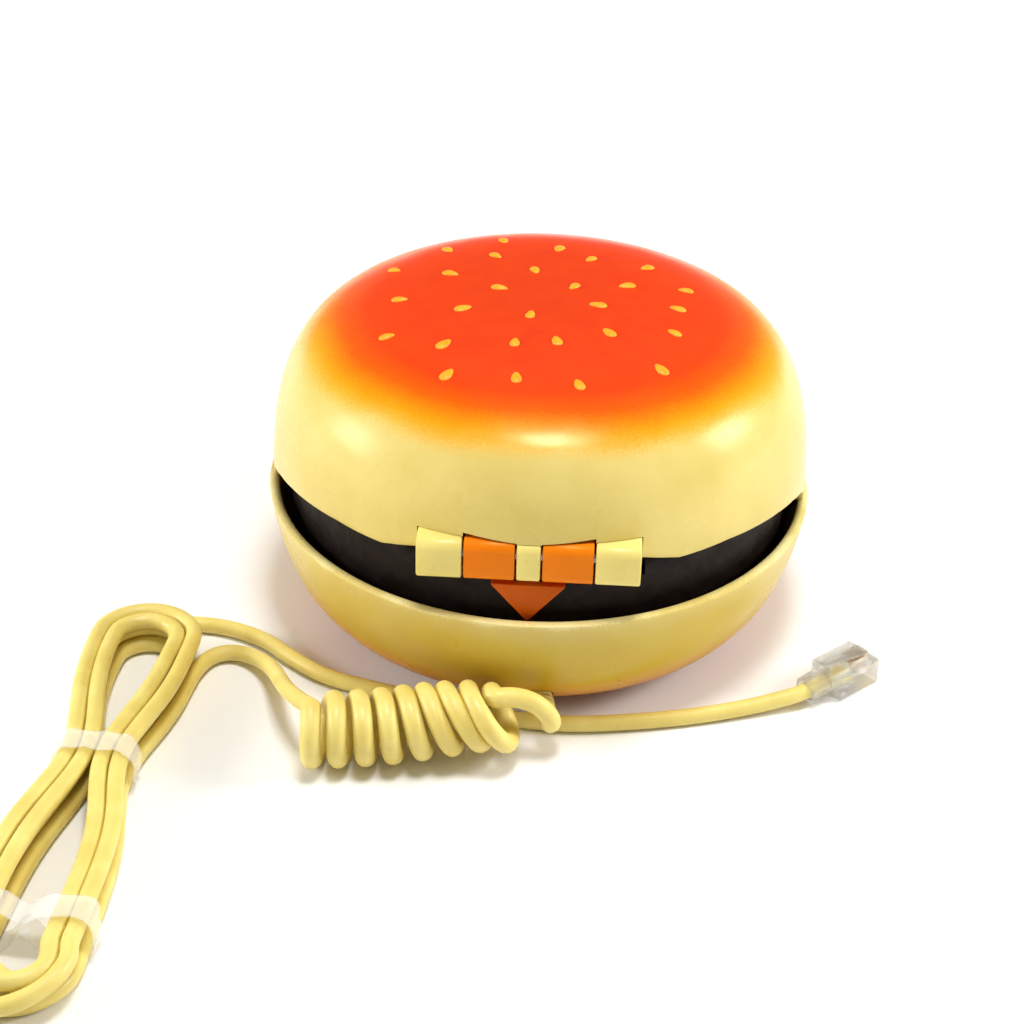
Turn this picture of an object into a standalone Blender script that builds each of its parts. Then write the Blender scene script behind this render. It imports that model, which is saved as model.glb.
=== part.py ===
"""Clamshell novelty telephone shaped like a bun sandwich.

The bottom bun holds a dark patty housing with the keypad, and the top bun is the lid with the
earpiece. They meet at a hinge of five knuckles on the -Y side. The line cord leaves the bottom
bun on that side, and lies beside it as a tied hank, a curly stretch and a tail with its plug.

Dimensions are in millimetres. add_part and add_tube turn them into metres.
Frame: +Z up, the table at Z = 0, the hinge towards -Y, the origin under the middle of the buns.
"""

import math

import bmesh
import bpy
from mathutils import Matrix, Vector

MM = 0.001
GAP = 0.3
ROUND = 48

# Bottom bun: outer profile from the flat base to the lip, as (radius, height)
LIP_Z = 33.0
WALL = 2.3
BASE_PROFILE = [(34.0, 1.0), (44.5, 2.4), (52.0, 6.0), (57.7, 13.0), (61.0, 21.5), (62.7, 28.7),
                (63.3, LIP_Z)]

# Top bun: outer profile from its lower edge to the crown, heights above the lip
LID_PROFILE = [(62.2, GAP), (62.0, 9.5), (61.0, 19.0), (57.8, 29.4), (52.4, 36.6), (43.5, 41.2),
               (30.0, 43.9), (15.0, 44.9), (0.0, 45.2)]
# The lid's lower edge rises towards the hinge: (y, height above the lip)
LID_ARCH = [(-6.0, -2.0), (-9.0, 3.0), (-13.0, 5.6), (-17.0, 7.0), (-22.0, 8.7), (-30.0, 10.3),
            (-38.0, 11.4), (-45.0, 12.2), (-53.0, 12.2), (-66.0, 20.0)]

# Hinge: five knuckles along X, on one pin
HINGE_Y = -57.2
HINGE_Z = LIP_Z + 14.3
KNUCKLE_HALF = 4.75
KNUCKLE_ROUND = 2.2
KNUCKLE_SWING = 6.15
KNUCKLE_EDGES = [-23.5, -14.0, -13.6, -2.9, -2.5, 2.5, 2.9, 13.6, 14.0, 23.5]
PIN_R = 1.5
PIN_HALF_LENGTH = 21.8
ROW_HALF = 24.3

# Patty housing: a cap that stands inside the bottom bun
PATTY_R = 58.0
PATTY_TOP = 45.0
PATTY_PANEL = 2.2
PATTY_BOTTOM = 23.0
PATTY_WALL = 2.0

# Keypad
KEY_X = 14.0
KEY_ROWS = [-20.5, -10.0, 0.5, 11.0]
KEY_SIZE = (9.6, 7.0)
WIDE_KEY_SIZE = (15.0, 6.0)
WIDE_KEY_X = 10.5
WIDE_KEY_Y = 22.0
KEY_STAND = 1.8
KEY_CLEARANCE = 0.4
KEY_FLANGE = 0.9
KEY_NAMES = ["key_1", "key_2", "key_3", "key_4", "key_5", "key_6", "key_7", "key_8", "key_9",
             "key_star", "key_0", "key_hash"]

# Hook switch, slide switches and microphone, on the patty
HOOK_Y = -38.0
HOOK_R = 2.0
SWITCH_X = 38.0
SWITCH_Y = 6.0
SWITCH_TRAVEL = 3.0
MICROPHONE_Y = 44.0

# Fasteners and feet
BASE_SCREW_AT = 28.0
FOOT_AT = 19.0
FOOT_R = 5.0
LID_SCREWS = [(0.0, 45.0), (-38.0, -18.0), (38.0, -18.0)]

# Earpiece, inside the lid
PLATE_Z = LIP_Z + 16.0
PLATE_R = 58.0
PLATE_THICK = 2.2
RECEIVER_Y = 20.0
RECEIVER_R = 16.0

# Line cord
CORD_R = 1.85
COIL_R = 8.6
EXIT_POINT = Vector((3.0, -54.1, 8.2))
EXIT_DIRECTION = Vector((0.35, -0.88, -0.30)).normalized()
RELIEF_LENGTH = 5.0
# From the strain relief up and over into the right end of the curly stretch
LEAD_ROUTE = [(6.0, -62.9, 5.9), (6.8, -65.2, 8.6), (6.0, -66.0, 12.2), (2.6, -66.2, 15.4),
              (-1.6, -65.8, 16.7)]
COIL_ROUTE = [(-3.0, -67.1, 11.4), (-11.0, -66.5, 10.9), (-19.0, -67.1, 9.8), (-28.0, -68.5, 8.8),
              (-37.0, -70.1, 8.65), (-46.0, -71.3, 8.65)]
# From the left end of the curly stretch to the hank
LINK_ROUTE = [(-48.9, -66.5, 12.6), (-52.2, -61.5, 11.4), (-54.4, -55.5, 9.0), (-55.3, -48.5, 6.0),
              (-57.8, -41.8, 3.2), (-62.9, -35.9, 2.0), (-70.0, -32.4, 2.0)]
# From the hank, behind the curly stretch, to the plug
TAIL_ROUTE = [(-76.5, -25.6, 1.9), (-68.5, -27.2, 1.9), (-61.0, -31.0, 1.9), (-54.5, -36.6, 1.9),
              (-46.0, -42.8, 1.9), (-34.8, -46.8, 1.9), (-22.0, -50.4, 1.9), (-10.0, -53.8, 1.9),
              (1.0, -55.6, 1.9), (11.0, -55.8, 1.9), (24.0, -54.0, 1.9), (39.0, -50.4, 1.9),
              (52.0, -46.2, 2.4), (62.0, -42.5, 3.6)]
PLUG_REAR = Vector((62.7, -42.0, 3.6))
PLUG_DIRECTION = Vector((0.74, 0.67, 0.0)).normalized()
PLUG_WIDTH = 9.65
PLUG_HEIGHT = 6.6
HANK_TOP = Vector((-87.0, -41.5))
HANK_END = Vector((-92.0, -138.0))
HANK_LOBE = 13.2
HANK_WAIST = 7.9
HANK_WAIST_AT = 0.42
HANK_BOTTOM = 0.9
HANK_HEIGHT = 9.8
TIE_THICK = 0.6
TIE_WIDTH = 6.0


def clear_scene():
    for item in list(bpy.data.objects):
        bpy.data.objects.remove(item, do_unlink=True)


def material(name, color, roughness, metallic=0.0):
    result = bpy.data.materials.get(name) or bpy.data.materials.new(name)
    result.use_nodes = True
    shader = result.node_tree.nodes["Principled BSDF"]
    shader.inputs["Base Color"].default_value = (*color, 1.0)
    shader.inputs["Roughness"].default_value = roughness
    shader.inputs["Metallic"].default_value = metallic
    return result


def finishes():
    return {
        "bun": material("bun", (0.85, 0.72, 0.38), 0.3),
        "patty": material("patty", (0.03, 0.012, 0.01), 0.6),
        "cream": material("cream", (0.84, 0.78, 0.45), 0.35),
        "cheese": material("cheese", (0.95, 0.30, 0.02), 0.4),
        "key": material("key", (0.80, 0.74, 0.55), 0.4),
        "plate": material("plate", (0.55, 0.10, 0.05), 0.45),
        "rubber": material("rubber", (0.05, 0.05, 0.05), 0.8),
        "board": material("board", (0.03, 0.22, 0.08), 0.5),
        "switch": material("switch", (0.10, 0.10, 0.10), 0.5),
        "steel": material("steel", (0.55, 0.55, 0.55), 0.35, 1.0),
        "cord": material("cord", (0.80, 0.70, 0.38), 0.45),
        "clear": material("clear", (0.90, 0.90, 0.88), 0.1),
    }


# ---------------------------------------------------------------- shape helpers

def loft(rings):
    """A closed body through rings of points, capped at both ends."""
    body = bmesh.new()
    loops = [[body.verts.new(point) for point in ring] for ring in rings]
    count = len(loops[0])
    for low, high in zip(loops, loops[1:]):
        for i in range(count):
            j = (i + 1) % count
            body.faces.new((low[i], low[j], high[j], high[i]))
    body.faces.new(loops[0])
    body.faces.new(loops[-1])
    bmesh.ops.recalc_face_normals(body, faces=body.faces)
    return body


def turned(profile, closed=False, sides=ROUND):
    """A body turned about Z from (radius, height) points. A closed profile makes a ring."""
    body = bmesh.new()
    rings = []
    for radius, height in profile:
        if radius < 1e-6:
            rings.append([body.verts.new((0.0, 0.0, height))])
            continue
        angles = [math.tau * i / sides for i in range(sides)]
        rings.append([body.verts.new((radius * math.cos(a), radius * math.sin(a), height))
                      for a in angles])
    pairs = list(zip(rings, rings[1:]))
    if closed:
        pairs.append((rings[-1], rings[0]))
    for low, high in pairs:
        for i in range(sides):
            j = (i + 1) % sides
            corners = [low[i % len(low)], low[j % len(low)], high[j % len(high)], high[i % len(high)]]
            body.faces.new(list(dict.fromkeys(corners)))
    if not closed and len(rings[0]) > 1:
        body.faces.new(rings[0])
        body.faces.new(rings[-1])
    bmesh.ops.recalc_face_normals(body, faces=body.faces)
    return body


def cylinder(radius, low, high, sides=24):
    return turned([(radius, low), (radius, high)], sides=sides)


def ring(inner, outer, low, high, sides=24):
    return turned([(outer, low), (outer, high), (inner, high), (inner, low)], closed=True, sides=sides)


def rounded_outline(width, depth, radius, steps=3):
    """Corner-rounded rectangle about the origin, anticlockwise."""
    points = []
    corners = [(1, 1, 0.0), (-1, 1, 90.0), (-1, -1, 180.0), (1, -1, 270.0)]
    for side_x, side_y, start in corners:
        middle_x = side_x * (width / 2 - radius)
        middle_y = side_y * (depth / 2 - radius)
        for step in range(steps + 1):
            angle = math.radians(start + 90.0 * step / steps)
            points.append((middle_x + radius * math.cos(angle), middle_y + radius * math.sin(angle)))
    return points


def prism(outline, low, high):
    return loft([[(x, y, z) for x, y in outline] for z in (low, high)])


def box(low, high):
    outline = [(low[0], low[1]), (high[0], low[1]), (high[0], high[1]), (low[0], high[1])]
    return prism(outline, low[2], high[2])


def moved(body, x=0.0, y=0.0, z=0.0):
    bmesh.ops.translate(body, verts=body.verts, vec=(x, y, z))
    return body


def along(body, start, direction):
    """Turns a body built along +Z so that it runs from start along direction."""
    turn = Vector((0.0, 0.0, 1.0)).rotation_difference(direction).to_matrix().to_4x4()
    bmesh.ops.transform(body, matrix=Matrix.Translation(start) @ turn, verts=body.verts)
    return body


def across(body):
    """Turns a body built along +Z so that it runs along +X."""
    bmesh.ops.transform(body, matrix=Matrix.Rotation(math.pi / 2, 4, "Y"), verts=body.verts)
    return body


def joined(*bodies):
    """Separate closed bodies in one mesh, for cutters."""
    result = bmesh.new()
    for body in bodies:
        piece = bpy.data.meshes.new("piece")
        body.to_mesh(piece)
        body.free()
        result.from_mesh(piece)
        bpy.data.meshes.remove(piece)
    return result


def add_part(name, body, finish=None, origin=(0.0, 0.0, 0.0), parent=None):
    """Adds a body given in millimetres, with its own origin, as an object in metres."""
    bmesh.ops.translate(body, verts=body.verts, vec=-Vector(origin))
    bmesh.ops.scale(body, verts=body.verts, vec=(MM, MM, MM))
    mesh = bpy.data.meshes.new(name)
    body.to_mesh(mesh)
    body.free()
    part = bpy.data.objects.new(name, mesh)
    bpy.context.collection.objects.link(part)
    part.location = Vector(origin) * MM
    if parent:
        part.parent = parent
        part.location -= parent.location
    if finish:
        mesh.materials.append(finish)
        mesh.shade_smooth()
        mesh.set_sharp_from_angle(angle=math.radians(35))
    return part


def combine(part, body, operation):
    """Joins another body to a part, or cuts it away."""
    tool = add_part(part.name + "_" + operation.lower(), body)
    tool.hide_render = True
    tool.display_type = "WIRE"
    step = part.modifiers.new(operation.title(), "BOOLEAN")
    step.operation = operation
    step.object = tool


def smooth_route(points, step):
    """Points every step along a smooth curve through the given points."""
    knots = [Vector(p) for p in points]
    knots = [knots[0] * 2 - knots[1]] + knots + [knots[-1] * 2 - knots[-2]]
    fine = []
    for before, start, end, after in zip(knots, knots[1:], knots[2:], knots[3:]):
        for i in range(16):
            t = i / 16
            fine.append(0.5 * (2 * start + (end - before) * t
                               + (2 * before - 5 * start + 4 * end - after) * t ** 2
                               + (3 * start - before - 3 * end + after) * t ** 3))
    fine.append(knots[-2])
    lengths = [0.0]
    for a, b in zip(fine, fine[1:]):
        lengths.append(lengths[-1] + (b - a).length)
    count = max(2, round(lengths[-1] / step))
    result = []
    for i in range(count + 1):
        target = lengths[-1] * i / count
        k = next((n for n in range(1, len(fine)) if lengths[n] >= target), len(fine) - 1)
        share = (target - lengths[k - 1]) / (lengths[k] - lengths[k - 1])
        result.append(fine[k - 1].lerp(fine[k], share))
    return result


def add_tube(name, points, radius, finish, resolution=2):
    curve = bpy.data.curves.new(name, "CURVE")
    curve.dimensions = "3D"
    curve.bevel_depth = radius * MM
    curve.bevel_resolution = resolution
    curve.use_fill_caps = True
    spline = curve.splines.new("POLY")
    spline.points.add(len(points) - 1)
    for target, point in zip(spline.points, points):
        target.co = (*(Vector(point) * MM), 1.0)
    tube = bpy.data.objects.new(name, curve)
    curve.materials.append(finish)
    bpy.context.collection.objects.link(tube)
    return tube


# ---------------------------------------------------------------- bun shells

def smooth_profile(points, step):
    return [(p.x, p.z) for p in smooth_route([(r, 0.0, z) for r, z in points], step)]


def inward(profile, depth):
    """The profile moved inward, square to itself, by depth."""
    result = []
    last = len(profile) - 1
    for i in range(last + 1):
        before = Vector(profile[max(i - 1, 0)])
        after = Vector(profile[min(i + 1, last)])
        tangent = (after - before).normalized()
        result.append((max(profile[i][0] - tangent.y * depth, 0.0), profile[i][1] + tangent.x * depth))
    return result


def bottom_bun(finish):
    outer = smooth_profile(BASE_PROFILE, 7.0)
    inner = inward(smooth_profile(BASE_PROFILE, 12.0), WALL)
    inner[0] = (outer[0][0] - 1.0, BASE_PROFILE[0][1] + WALL)
    inner[-1] = (inner[-1][0], LIP_Z)
    profile = [(0.0, BASE_PROFILE[0][1])] + outer + inner[::-1] + [(0.0, BASE_PROFILE[0][1] + WALL)]
    shell = add_part("bottom_bun_shell", turned(profile), finish["bun"])
    bosses = []
    holes = []
    for x, y in corners_at(BASE_SCREW_AT):
        bosses.append(moved(cylinder(5.0, 2.8, 10.0, 16), x, y))
        holes.append(moved(turned([(3.2, -1.0), (3.2, 5.0), (1.7, 5.0), (1.7, 12.0)], sides=16), x, y))
    holes.append(along(cylinder(3.3, -9.0, 9.0, 16), EXIT_POINT, EXIT_DIRECTION))
    combine(shell, joined(*bosses), "UNION")
    combine(shell, joined(*holes), "DIFFERENCE")


def top_bun(finish, lid):
    shape = [(r, z + LIP_Z) for r, z in LID_PROFILE]
    outer = smooth_profile(shape, 7.0)
    inner = inward(smooth_profile(shape, 12.0), WALL)
    inner[0] = (inner[0][0], LIP_Z + GAP)
    inner[-1] = (0.0, shape[-1][1] - WALL)
    shell = add_part("top_bun_shell", turned(outer[::-1] + inner), finish["bun"], hinge_point(), lid)
    bosses = [moved(cylinder(4.0, PLATE_Z + PLATE_THICK + GAP, 71.0, 12), x, y) for x, y in LID_SCREWS]
    holes = [moved(cylinder(1.6, PLATE_Z, 64.0, 12), x, y) for x, y in LID_SCREWS]
    combine(shell, joined(*bosses), "UNION")
    combine(shell, joined(*holes), "DIFFERENCE")
    combine(shell, arch_cutter(), "DIFFERENCE")
    combine(shell, hinge_row_cutter(KNUCKLE_SWING), "DIFFERENCE")


def arch_cutter():
    outline = [(y, z + LIP_Z) for y, z in LID_ARCH] + [(-66.0, LIP_Z - 2.0)]
    return loft([[(x, y, z) for y, z in outline] for x in (-70.0, 70.0)])


def hinge_row_cutter(radius):
    return moved(across(cylinder(radius, -ROW_HALF, ROW_HALF, 32)), y=HINGE_Y, z=HINGE_Z)


def corners_at(distance):
    return [(x * distance, y * distance) for x in (-1, 1) for y in (-1, 1)]


# ---------------------------------------------------------------- patty and keypad

def patty_housing(finish):
    under = PATTY_TOP - PATTY_PANEL
    profile = [(0.0, PATTY_TOP), (PATTY_R - 1.5, PATTY_TOP), (PATTY_R - 0.4, PATTY_TOP - 0.5),
               (PATTY_R, PATTY_TOP - 1.6), (PATTY_R, PATTY_BOTTOM), (PATTY_R - PATTY_WALL, PATTY_BOTTOM),
               (PATTY_R - PATTY_WALL, under), (0.0, under)]
    housing = add_part("patty_housing", turned(profile), finish["patty"])
    posts = [moved(cylinder(3.6, 10.0 + GAP, under + 1.0, 12), x, y) for x, y in corners_at(BASE_SCREW_AT)]
    cuts = [moved(cylinder(1.6, 10.0, 24.0, 12), x, y) for x, y in corners_at(BASE_SCREW_AT)]
    for _, x, y, size in key_places():
        width = size[0] + 2 * KEY_CLEARANCE
        depth = size[1] + 2 * KEY_CLEARANCE
        cuts.append(moved(prism(rounded_outline(width, depth, 1.6, 2), under - 1, PATTY_TOP + 1), x, y))
    cuts.append(moved(cylinder(HOOK_R + KEY_CLEARANCE, under - 1, PATTY_TOP + 1, 12), 0.0, HOOK_Y))
    for x in (-4.0, 0.0, 4.0):
        cuts.append(moved(cylinder(0.9, under - 1, PATTY_TOP + 1, 8), x, MICROPHONE_Y))
    for x in (-SWITCH_X, SWITCH_X):
        low = (x - 1.9, SWITCH_Y - 3.4, under - 1)
        cuts.append(box(low, (x + 1.9, SWITCH_Y + 3.4 + SWITCH_TRAVEL, PATTY_TOP + 1)))
    cuts.append(box((-ROW_HALF - GAP, -60.0, HINGE_Z - 6.8), (ROW_HALF + GAP, -50.4, PATTY_TOP + 1)))
    combine(housing, joined(*posts), "UNION")
    combine(housing, joined(*cuts), "DIFFERENCE")


def key_places():
    """Name, middle and size of each key. Row 1 is nearest the hinge, and 1 is at +X."""
    places = []
    for i, name in enumerate(KEY_NAMES):
        places.append((name, KEY_X * (1 - i % 3), KEY_ROWS[i // 3], KEY_SIZE))
    places.append(("key_redial", WIDE_KEY_X, WIDE_KEY_Y, WIDE_KEY_SIZE))
    places.append(("key_flash", -WIDE_KEY_X, WIDE_KEY_Y, WIDE_KEY_SIZE))
    return places


def keys(finish):
    under = PATTY_TOP - PATTY_PANEL
    top = PATTY_TOP + KEY_STAND
    for name, x, y, (width, depth) in key_places():
        flange = rounded_outline(width + 1.8, depth + 1.8, 1.8, 2)
        stem = rounded_outline(width, depth, 1.5, 2)
        crown = rounded_outline(width - 1.4, depth - 1.4, 1.0, 2)
        levels = [(flange, under - GAP - KEY_FLANGE), (flange, under - GAP), (stem, under - GAP),
                  (stem, top - 0.7), (crown, top)]
        body = loft([[(px, py, z) for px, py in outline] for outline, z in levels])
        add_part(name, moved(body, x, y), finish["key"], (x, y, top))


def keypad_inside(finish):
    sheet = moved(prism(rounded_outline(46.0, 58.0, 3.0, 2), 38.4, 39.6), y=1.0)
    add_part("keypad_membrane", sheet, finish["rubber"])
    board = moved(prism(rounded_outline(47.0, 60.0, 2.0, 2), 36.4, 38.0), y=1.0)
    add_part("circuit_board", board, finish["board"])


def hook_switch(finish):
    under = PATTY_TOP - PATTY_PANEL
    tip = PLATE_Z - GAP
    profile = [(0.0, 37.8), (HOOK_R, 37.8), (HOOK_R, 38.4), (3.6, 38.4), (3.6, 39.8), (HOOK_R, 39.8),
               (HOOK_R, tip - 1.0), (HOOK_R - 0.8, tip - 0.2), (0.0, tip)]
    add_part("hook_plunger", moved(turned(profile, sides=16), y=HOOK_Y), finish["key"], (0.0, HOOK_Y, tip))
    case = rounded_outline(13.0, 8.0, 0.8, 2)
    add_part("hook_switch_body", moved(prism(case, under - 13.0, 37.5), y=HOOK_Y), finish["switch"])


def slide_switches(finish):
    under = PATTY_TOP - PATTY_PANEL
    for name, x in (("ringer_switch", -SWITCH_X), ("dial_mode_switch", SWITCH_X)):
        stem = rounded_outline(3.0, 6.0, 0.5, 1)
        slider = rounded_outline(5.4, 8.0, 0.5, 1)
        levels = [(slider, under - 1.7), (slider, under - GAP), (stem, under - GAP), (stem, PATTY_TOP + 1.2)]
        knob = loft([[(px, py, z) for px, py in outline] for outline, z in levels])
        add_part(name + "_knob", moved(knob, x, SWITCH_Y), finish["switch"], (x, SWITCH_Y, PATTY_TOP))
        case = prism(rounded_outline(7.0, 14.0, 0.8, 1), under - 7.0, under - 2.0)
        add_part(name + "_body", moved(case, x, SWITCH_Y + SWITCH_TRAVEL / 2), finish["steel"])


def microphone(finish):
    under = PATTY_TOP - PATTY_PANEL
    boot = ring(5.2, 6.6, under - 7.5, under - GAP, 20)
    add_part("microphone_boot", moved(boot, y=MICROPHONE_Y), finish["rubber"])
    capsule = cylinder(4.9, under - 7.0, under - 1.0, 20)
    add_part("microphone_capsule", moved(capsule, y=MICROPHONE_Y), finish["steel"])


def base_inside(finish):
    floor = BASE_PROFILE[0][1] + WALL
    plate = prism(rounded_outline(34.0, 28.0, 3.0, 2), floor + GAP, floor + GAP + 3.0)
    add_part("ballast_plate", plate, finish["steel"])
    disc = cylinder(12.0, floor + 3.0 + 2 * GAP, floor + 7.0, 24)
    add_part("ringer_disc", disc, finish["steel"])
    for i, (x, y) in enumerate(corners_at(BASE_SCREW_AT)):
        screw = turned([(0.0, 3.4), (2.8, 3.4), (2.8, 4.7), (1.3, 4.7), (1.3, 22.0), (0.0, 23.0)], sides=12)
        add_part(f"base_screw_{i + 1}", moved(screw, x, y), finish["steel"])
    for i, (x, y) in enumerate(corners_at(FOOT_AT)):
        foot = turned([(0.0, 0.0), (FOOT_R - 0.4, 0.0), (FOOT_R, 0.3), (FOOT_R, 0.7), (0.0, 0.7)], sides=16)
        add_part(f"rubber_foot_{i + 1}", moved(foot, x, y), finish["rubber"])


# ---------------------------------------------------------------- hinge

def hinge_point():
    return (0.0, HINGE_Y, HINGE_Z)


def knuckle(left, right, tab, pin_left, pin_right):
    """A knuckle block with its tab and its pin hole, as a solid and a cutter."""
    side = 2 * KNUCKLE_HALF
    outline = rounded_outline(side, side, KNUCKLE_ROUND, 4)
    block = loft([[(x, HINGE_Y + py, HINGE_Z + pz) for py, pz in outline] for x in (left, right)])
    hole = moved(across(cylinder(PIN_R + GAP, pin_left, pin_right, 16)), y=HINGE_Y, z=HINGE_Z)
    return block, box(*tab), hole


def knuckles(finish, lid):
    edges = KNUCKLE_EDGES
    pin_end = PIN_HALF_LENGTH + GAP
    for side, name in ((-1, "left"), (1, "right")):
        inner, outer = (edges[6], edges[7]) if side > 0 else (edges[2], edges[3])
        middle = (inner + outer) / 2
        tab = ((middle - 3.0, -54.6, 36.0), (middle + 3.0, -52.6, HINGE_Z - 2.0))
        block, leg, hole = knuckle(inner, outer, tab, inner - 1.0, outer + 1.0)
        part = add_part("base_knuckle_" + name, block, finish["cheese"])
        combine(part, leg, "UNION")
        combine(part, hole, "DIFFERENCE")
    cream = [("left", edges[0], edges[1], -pin_end, edges[1] + 1.0),
             ("middle", edges[4], edges[5], edges[4] - 1.0, edges[5] + 1.0),
             ("right", edges[8], edges[9], edges[8] - 1.0, pin_end)]
    for name, left, right, pin_left, pin_right in cream:
        inset = 1.0 if name == "middle" else 2.5
        tab = ((left + inset, -54.5, HINGE_Z + 1.0), (right - inset, -51.0, HINGE_Z + 3.4))
        block, leg, hole = knuckle(left, right, tab, pin_left, pin_right)
        part = add_part("lid_knuckle_" + name, block, finish["cream"], hinge_point(), lid)
        combine(part, leg, "UNION")
        combine(part, hole, "DIFFERENCE")
    pin = moved(across(cylinder(PIN_R, -PIN_HALF_LENGTH, PIN_HALF_LENGTH, 16)), y=HINGE_Y, z=HINGE_Z)
    add_part("hinge_pin", pin, finish["steel"])


def cheese_corner(finish):
    """A triangle of cheese that hangs over the patty's edge, point down."""
    outline = [(-8.2, LIP_Z + 8.1), (0.0, LIP_Z - 1.4), (8.2, LIP_Z + 8.1)]
    rings = []
    for depth in (-PATTY_R - GAP, -PATTY_R - GAP - 1.6):
        rings.append([(x, depth, z) for x, z in outline])
    add_part("cheese_corner", loft(rings), finish["cheese"])


# ---------------------------------------------------------------- lid inside

def lid_inside(finish, lid):
    low = PLATE_Z
    high = PLATE_Z + PLATE_THICK
    plate = add_part("earpiece_plate", cylinder(PLATE_R, low, high, ROUND), finish["plate"], hinge_point(), lid)
    cuts = [box((-ROW_HALF - 0.3, -60.0, low - 1), (ROW_HALF + 0.3, -50.6, high + 1))]
    for x, y in LID_SCREWS:
        cuts.append(moved(turned([(3.0, low - 1), (3.0, low + 1.2), (1.6, low + 1.2), (1.6, high + 1)],
                                 sides=12), x, y))
    cuts.append(moved(cylinder(1.1, low - 1, high + 1, 8), 0.0, RECEIVER_Y))
    for i in range(6):
        angle = math.tau * i / 6
        x = 5.0 * math.cos(angle)
        y = RECEIVER_Y + 5.0 * math.sin(angle)
        cuts.append(moved(cylinder(1.1, low - 1, high + 1, 8), x, y))
    combine(plate, joined(*cuts), "DIFFERENCE")
    capsule = turned([(0.0, high + GAP), (RECEIVER_R, high + GAP), (RECEIVER_R, high + 4.0),
                      (9.0, high + 8.0), (0.0, high + 8.0)], sides=24)
    add_part("receiver_capsule", moved(capsule, y=RECEIVER_Y), finish["steel"], hinge_point(), lid)
    retainer = ring(RECEIVER_R + GAP, RECEIVER_R + 2.5, high + GAP, high + 5.0, 24)
    add_part("receiver_retainer", moved(retainer, y=RECEIVER_Y), finish["patty"], hinge_point(), lid)
    for i, (x, y) in enumerate(LID_SCREWS):
        profile = [(0.0, low + 0.1), (2.6, low + 0.1), (2.6, low + 0.9), (1.3, low + 0.9),
                   (1.3, low + 12.0), (0.0, low + 13.0)]
        screw = moved(turned(profile, sides=12), x, y)
        add_part(f"lid_screw_{i + 1}", screw, finish["steel"], hinge_point(), lid)


# ---------------------------------------------------------------- line cord

def strain_relief(finish):
    profile = [(0.0, -8.2), (4.0, -8.2), (4.0, -7.2), (2.9, -7.2), (2.9, 0.5), (2.3, RELIEF_LENGTH),
               (0.0, RELIEF_LENGTH)]
    boot = along(turned(profile, sides=16), EXIT_POINT, EXIT_DIRECTION)
    add_part("cord_strain_relief", boot, finish["cord"])


def hank(finish):
    """The tied hank's outer shape: two round lobes with a waist at the tie."""
    axis = HANK_END - HANK_TOP
    length = axis.length
    axis = axis.normalized()
    side = Vector((-axis.y, axis.x))
    outline = []
    for sign, stations in ((1, range(0, 17)), (-1, range(16, -1, -1))):
        for i in stations:
            share = i / 16
            waist = math.exp(-((share - HANK_WAIST_AT) / 0.2) ** 2)
            half = HANK_LOBE + (HANK_WAIST - HANK_LOBE) * waist
            outline.append(HANK_TOP + axis * length * share + side * half * sign)
        turn = HANK_END if sign > 0 else HANK_TOP
        for i in range(1, 8):
            angle = math.pi * i / 8
            outline.append(turn + (side * math.cos(angle) + axis * math.sin(angle)) * HANK_LOBE * sign)
    solid = prism([tuple(point) for point in outline], HANK_BOTTOM, HANK_BOTTOM + HANK_HEIGHT)
    add_part("cord_hank", solid, finish["cord"])
    add_tie("cord_tie_middle", HANK_WAIST_AT, HANK_WAIST, finish)
    add_tie("cord_tie_end", 0.93, HANK_LOBE, finish)


def add_tie(name, share, half, finish):
    """A clear band round the hank."""
    axis = (HANK_END - HANK_TOP).normalized()
    middle = HANK_TOP.lerp(HANK_END, share)
    inner = half + 2 * GAP
    outer = inner + TIE_THICK
    low = HANK_BOTTOM - GAP
    high = HANK_BOTTOM + HANK_HEIGHT + GAP
    width = TIE_WIDTH / 2
    turn = Matrix.Rotation(math.atan2(axis.x, -axis.y), 4, "Z")
    place = Matrix.Translation((middle.x, middle.y, 0.0)) @ turn
    band = box((-outer, -width, low - TIE_THICK + 0.1), (outer, width, high + TIE_THICK))
    hole = box((-inner, -width - 1.0, low), (inner, width + 1.0, high))
    bmesh.ops.transform(band, matrix=place, verts=band.verts)
    bmesh.ops.transform(hole, matrix=place, verts=hole.verts)
    part = add_part(name, band, finish["clear"])
    combine(part, hole, "DIFFERENCE")


def modular_plug(finish):
    """Clear plug: a narrow rear with the strain relief, then the full-width nose."""
    levels = [(0.0, 5.6, 4.4), (5.5, 6.0, 4.8), (7.0, PLUG_WIDTH, PLUG_HEIGHT), (19.0, PLUG_WIDTH, PLUG_HEIGHT),
              (20.0, PLUG_WIDTH - 1.0, PLUG_HEIGHT - 1.2)]
    side = Vector((-PLUG_DIRECTION.y, PLUG_DIRECTION.x, 0.0))
    rings = []
    for distance, width, height in levels:
        middle = PLUG_REAR + PLUG_DIRECTION * distance
        outline = rounded_outline(width, height, 0.6, 1)
        rings.append([middle + side * px + Vector((0.0, 0.0, py)) for px, py in outline])
    add_part("modular_plug", loft(rings), finish["clear"])


def line_cord(finish):
    start = EXIT_POINT + EXIT_DIRECTION * (RELIEF_LENGTH + 3 * GAP)
    add_tube("cord_lead", smooth_route([start] + LEAD_ROUTE, 5.0), CORD_R, finish["cord"])
    add_tube("cord_link", smooth_route(LINK_ROUTE, 6.0), CORD_R, finish["cord"])
    add_tube("cord_coil", smooth_route(COIL_ROUTE, 12.0), COIL_R, finish["cord"])
    add_tube("cord_tail", smooth_route(TAIL_ROUTE, 9.0), CORD_R, finish["cord"])


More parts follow.
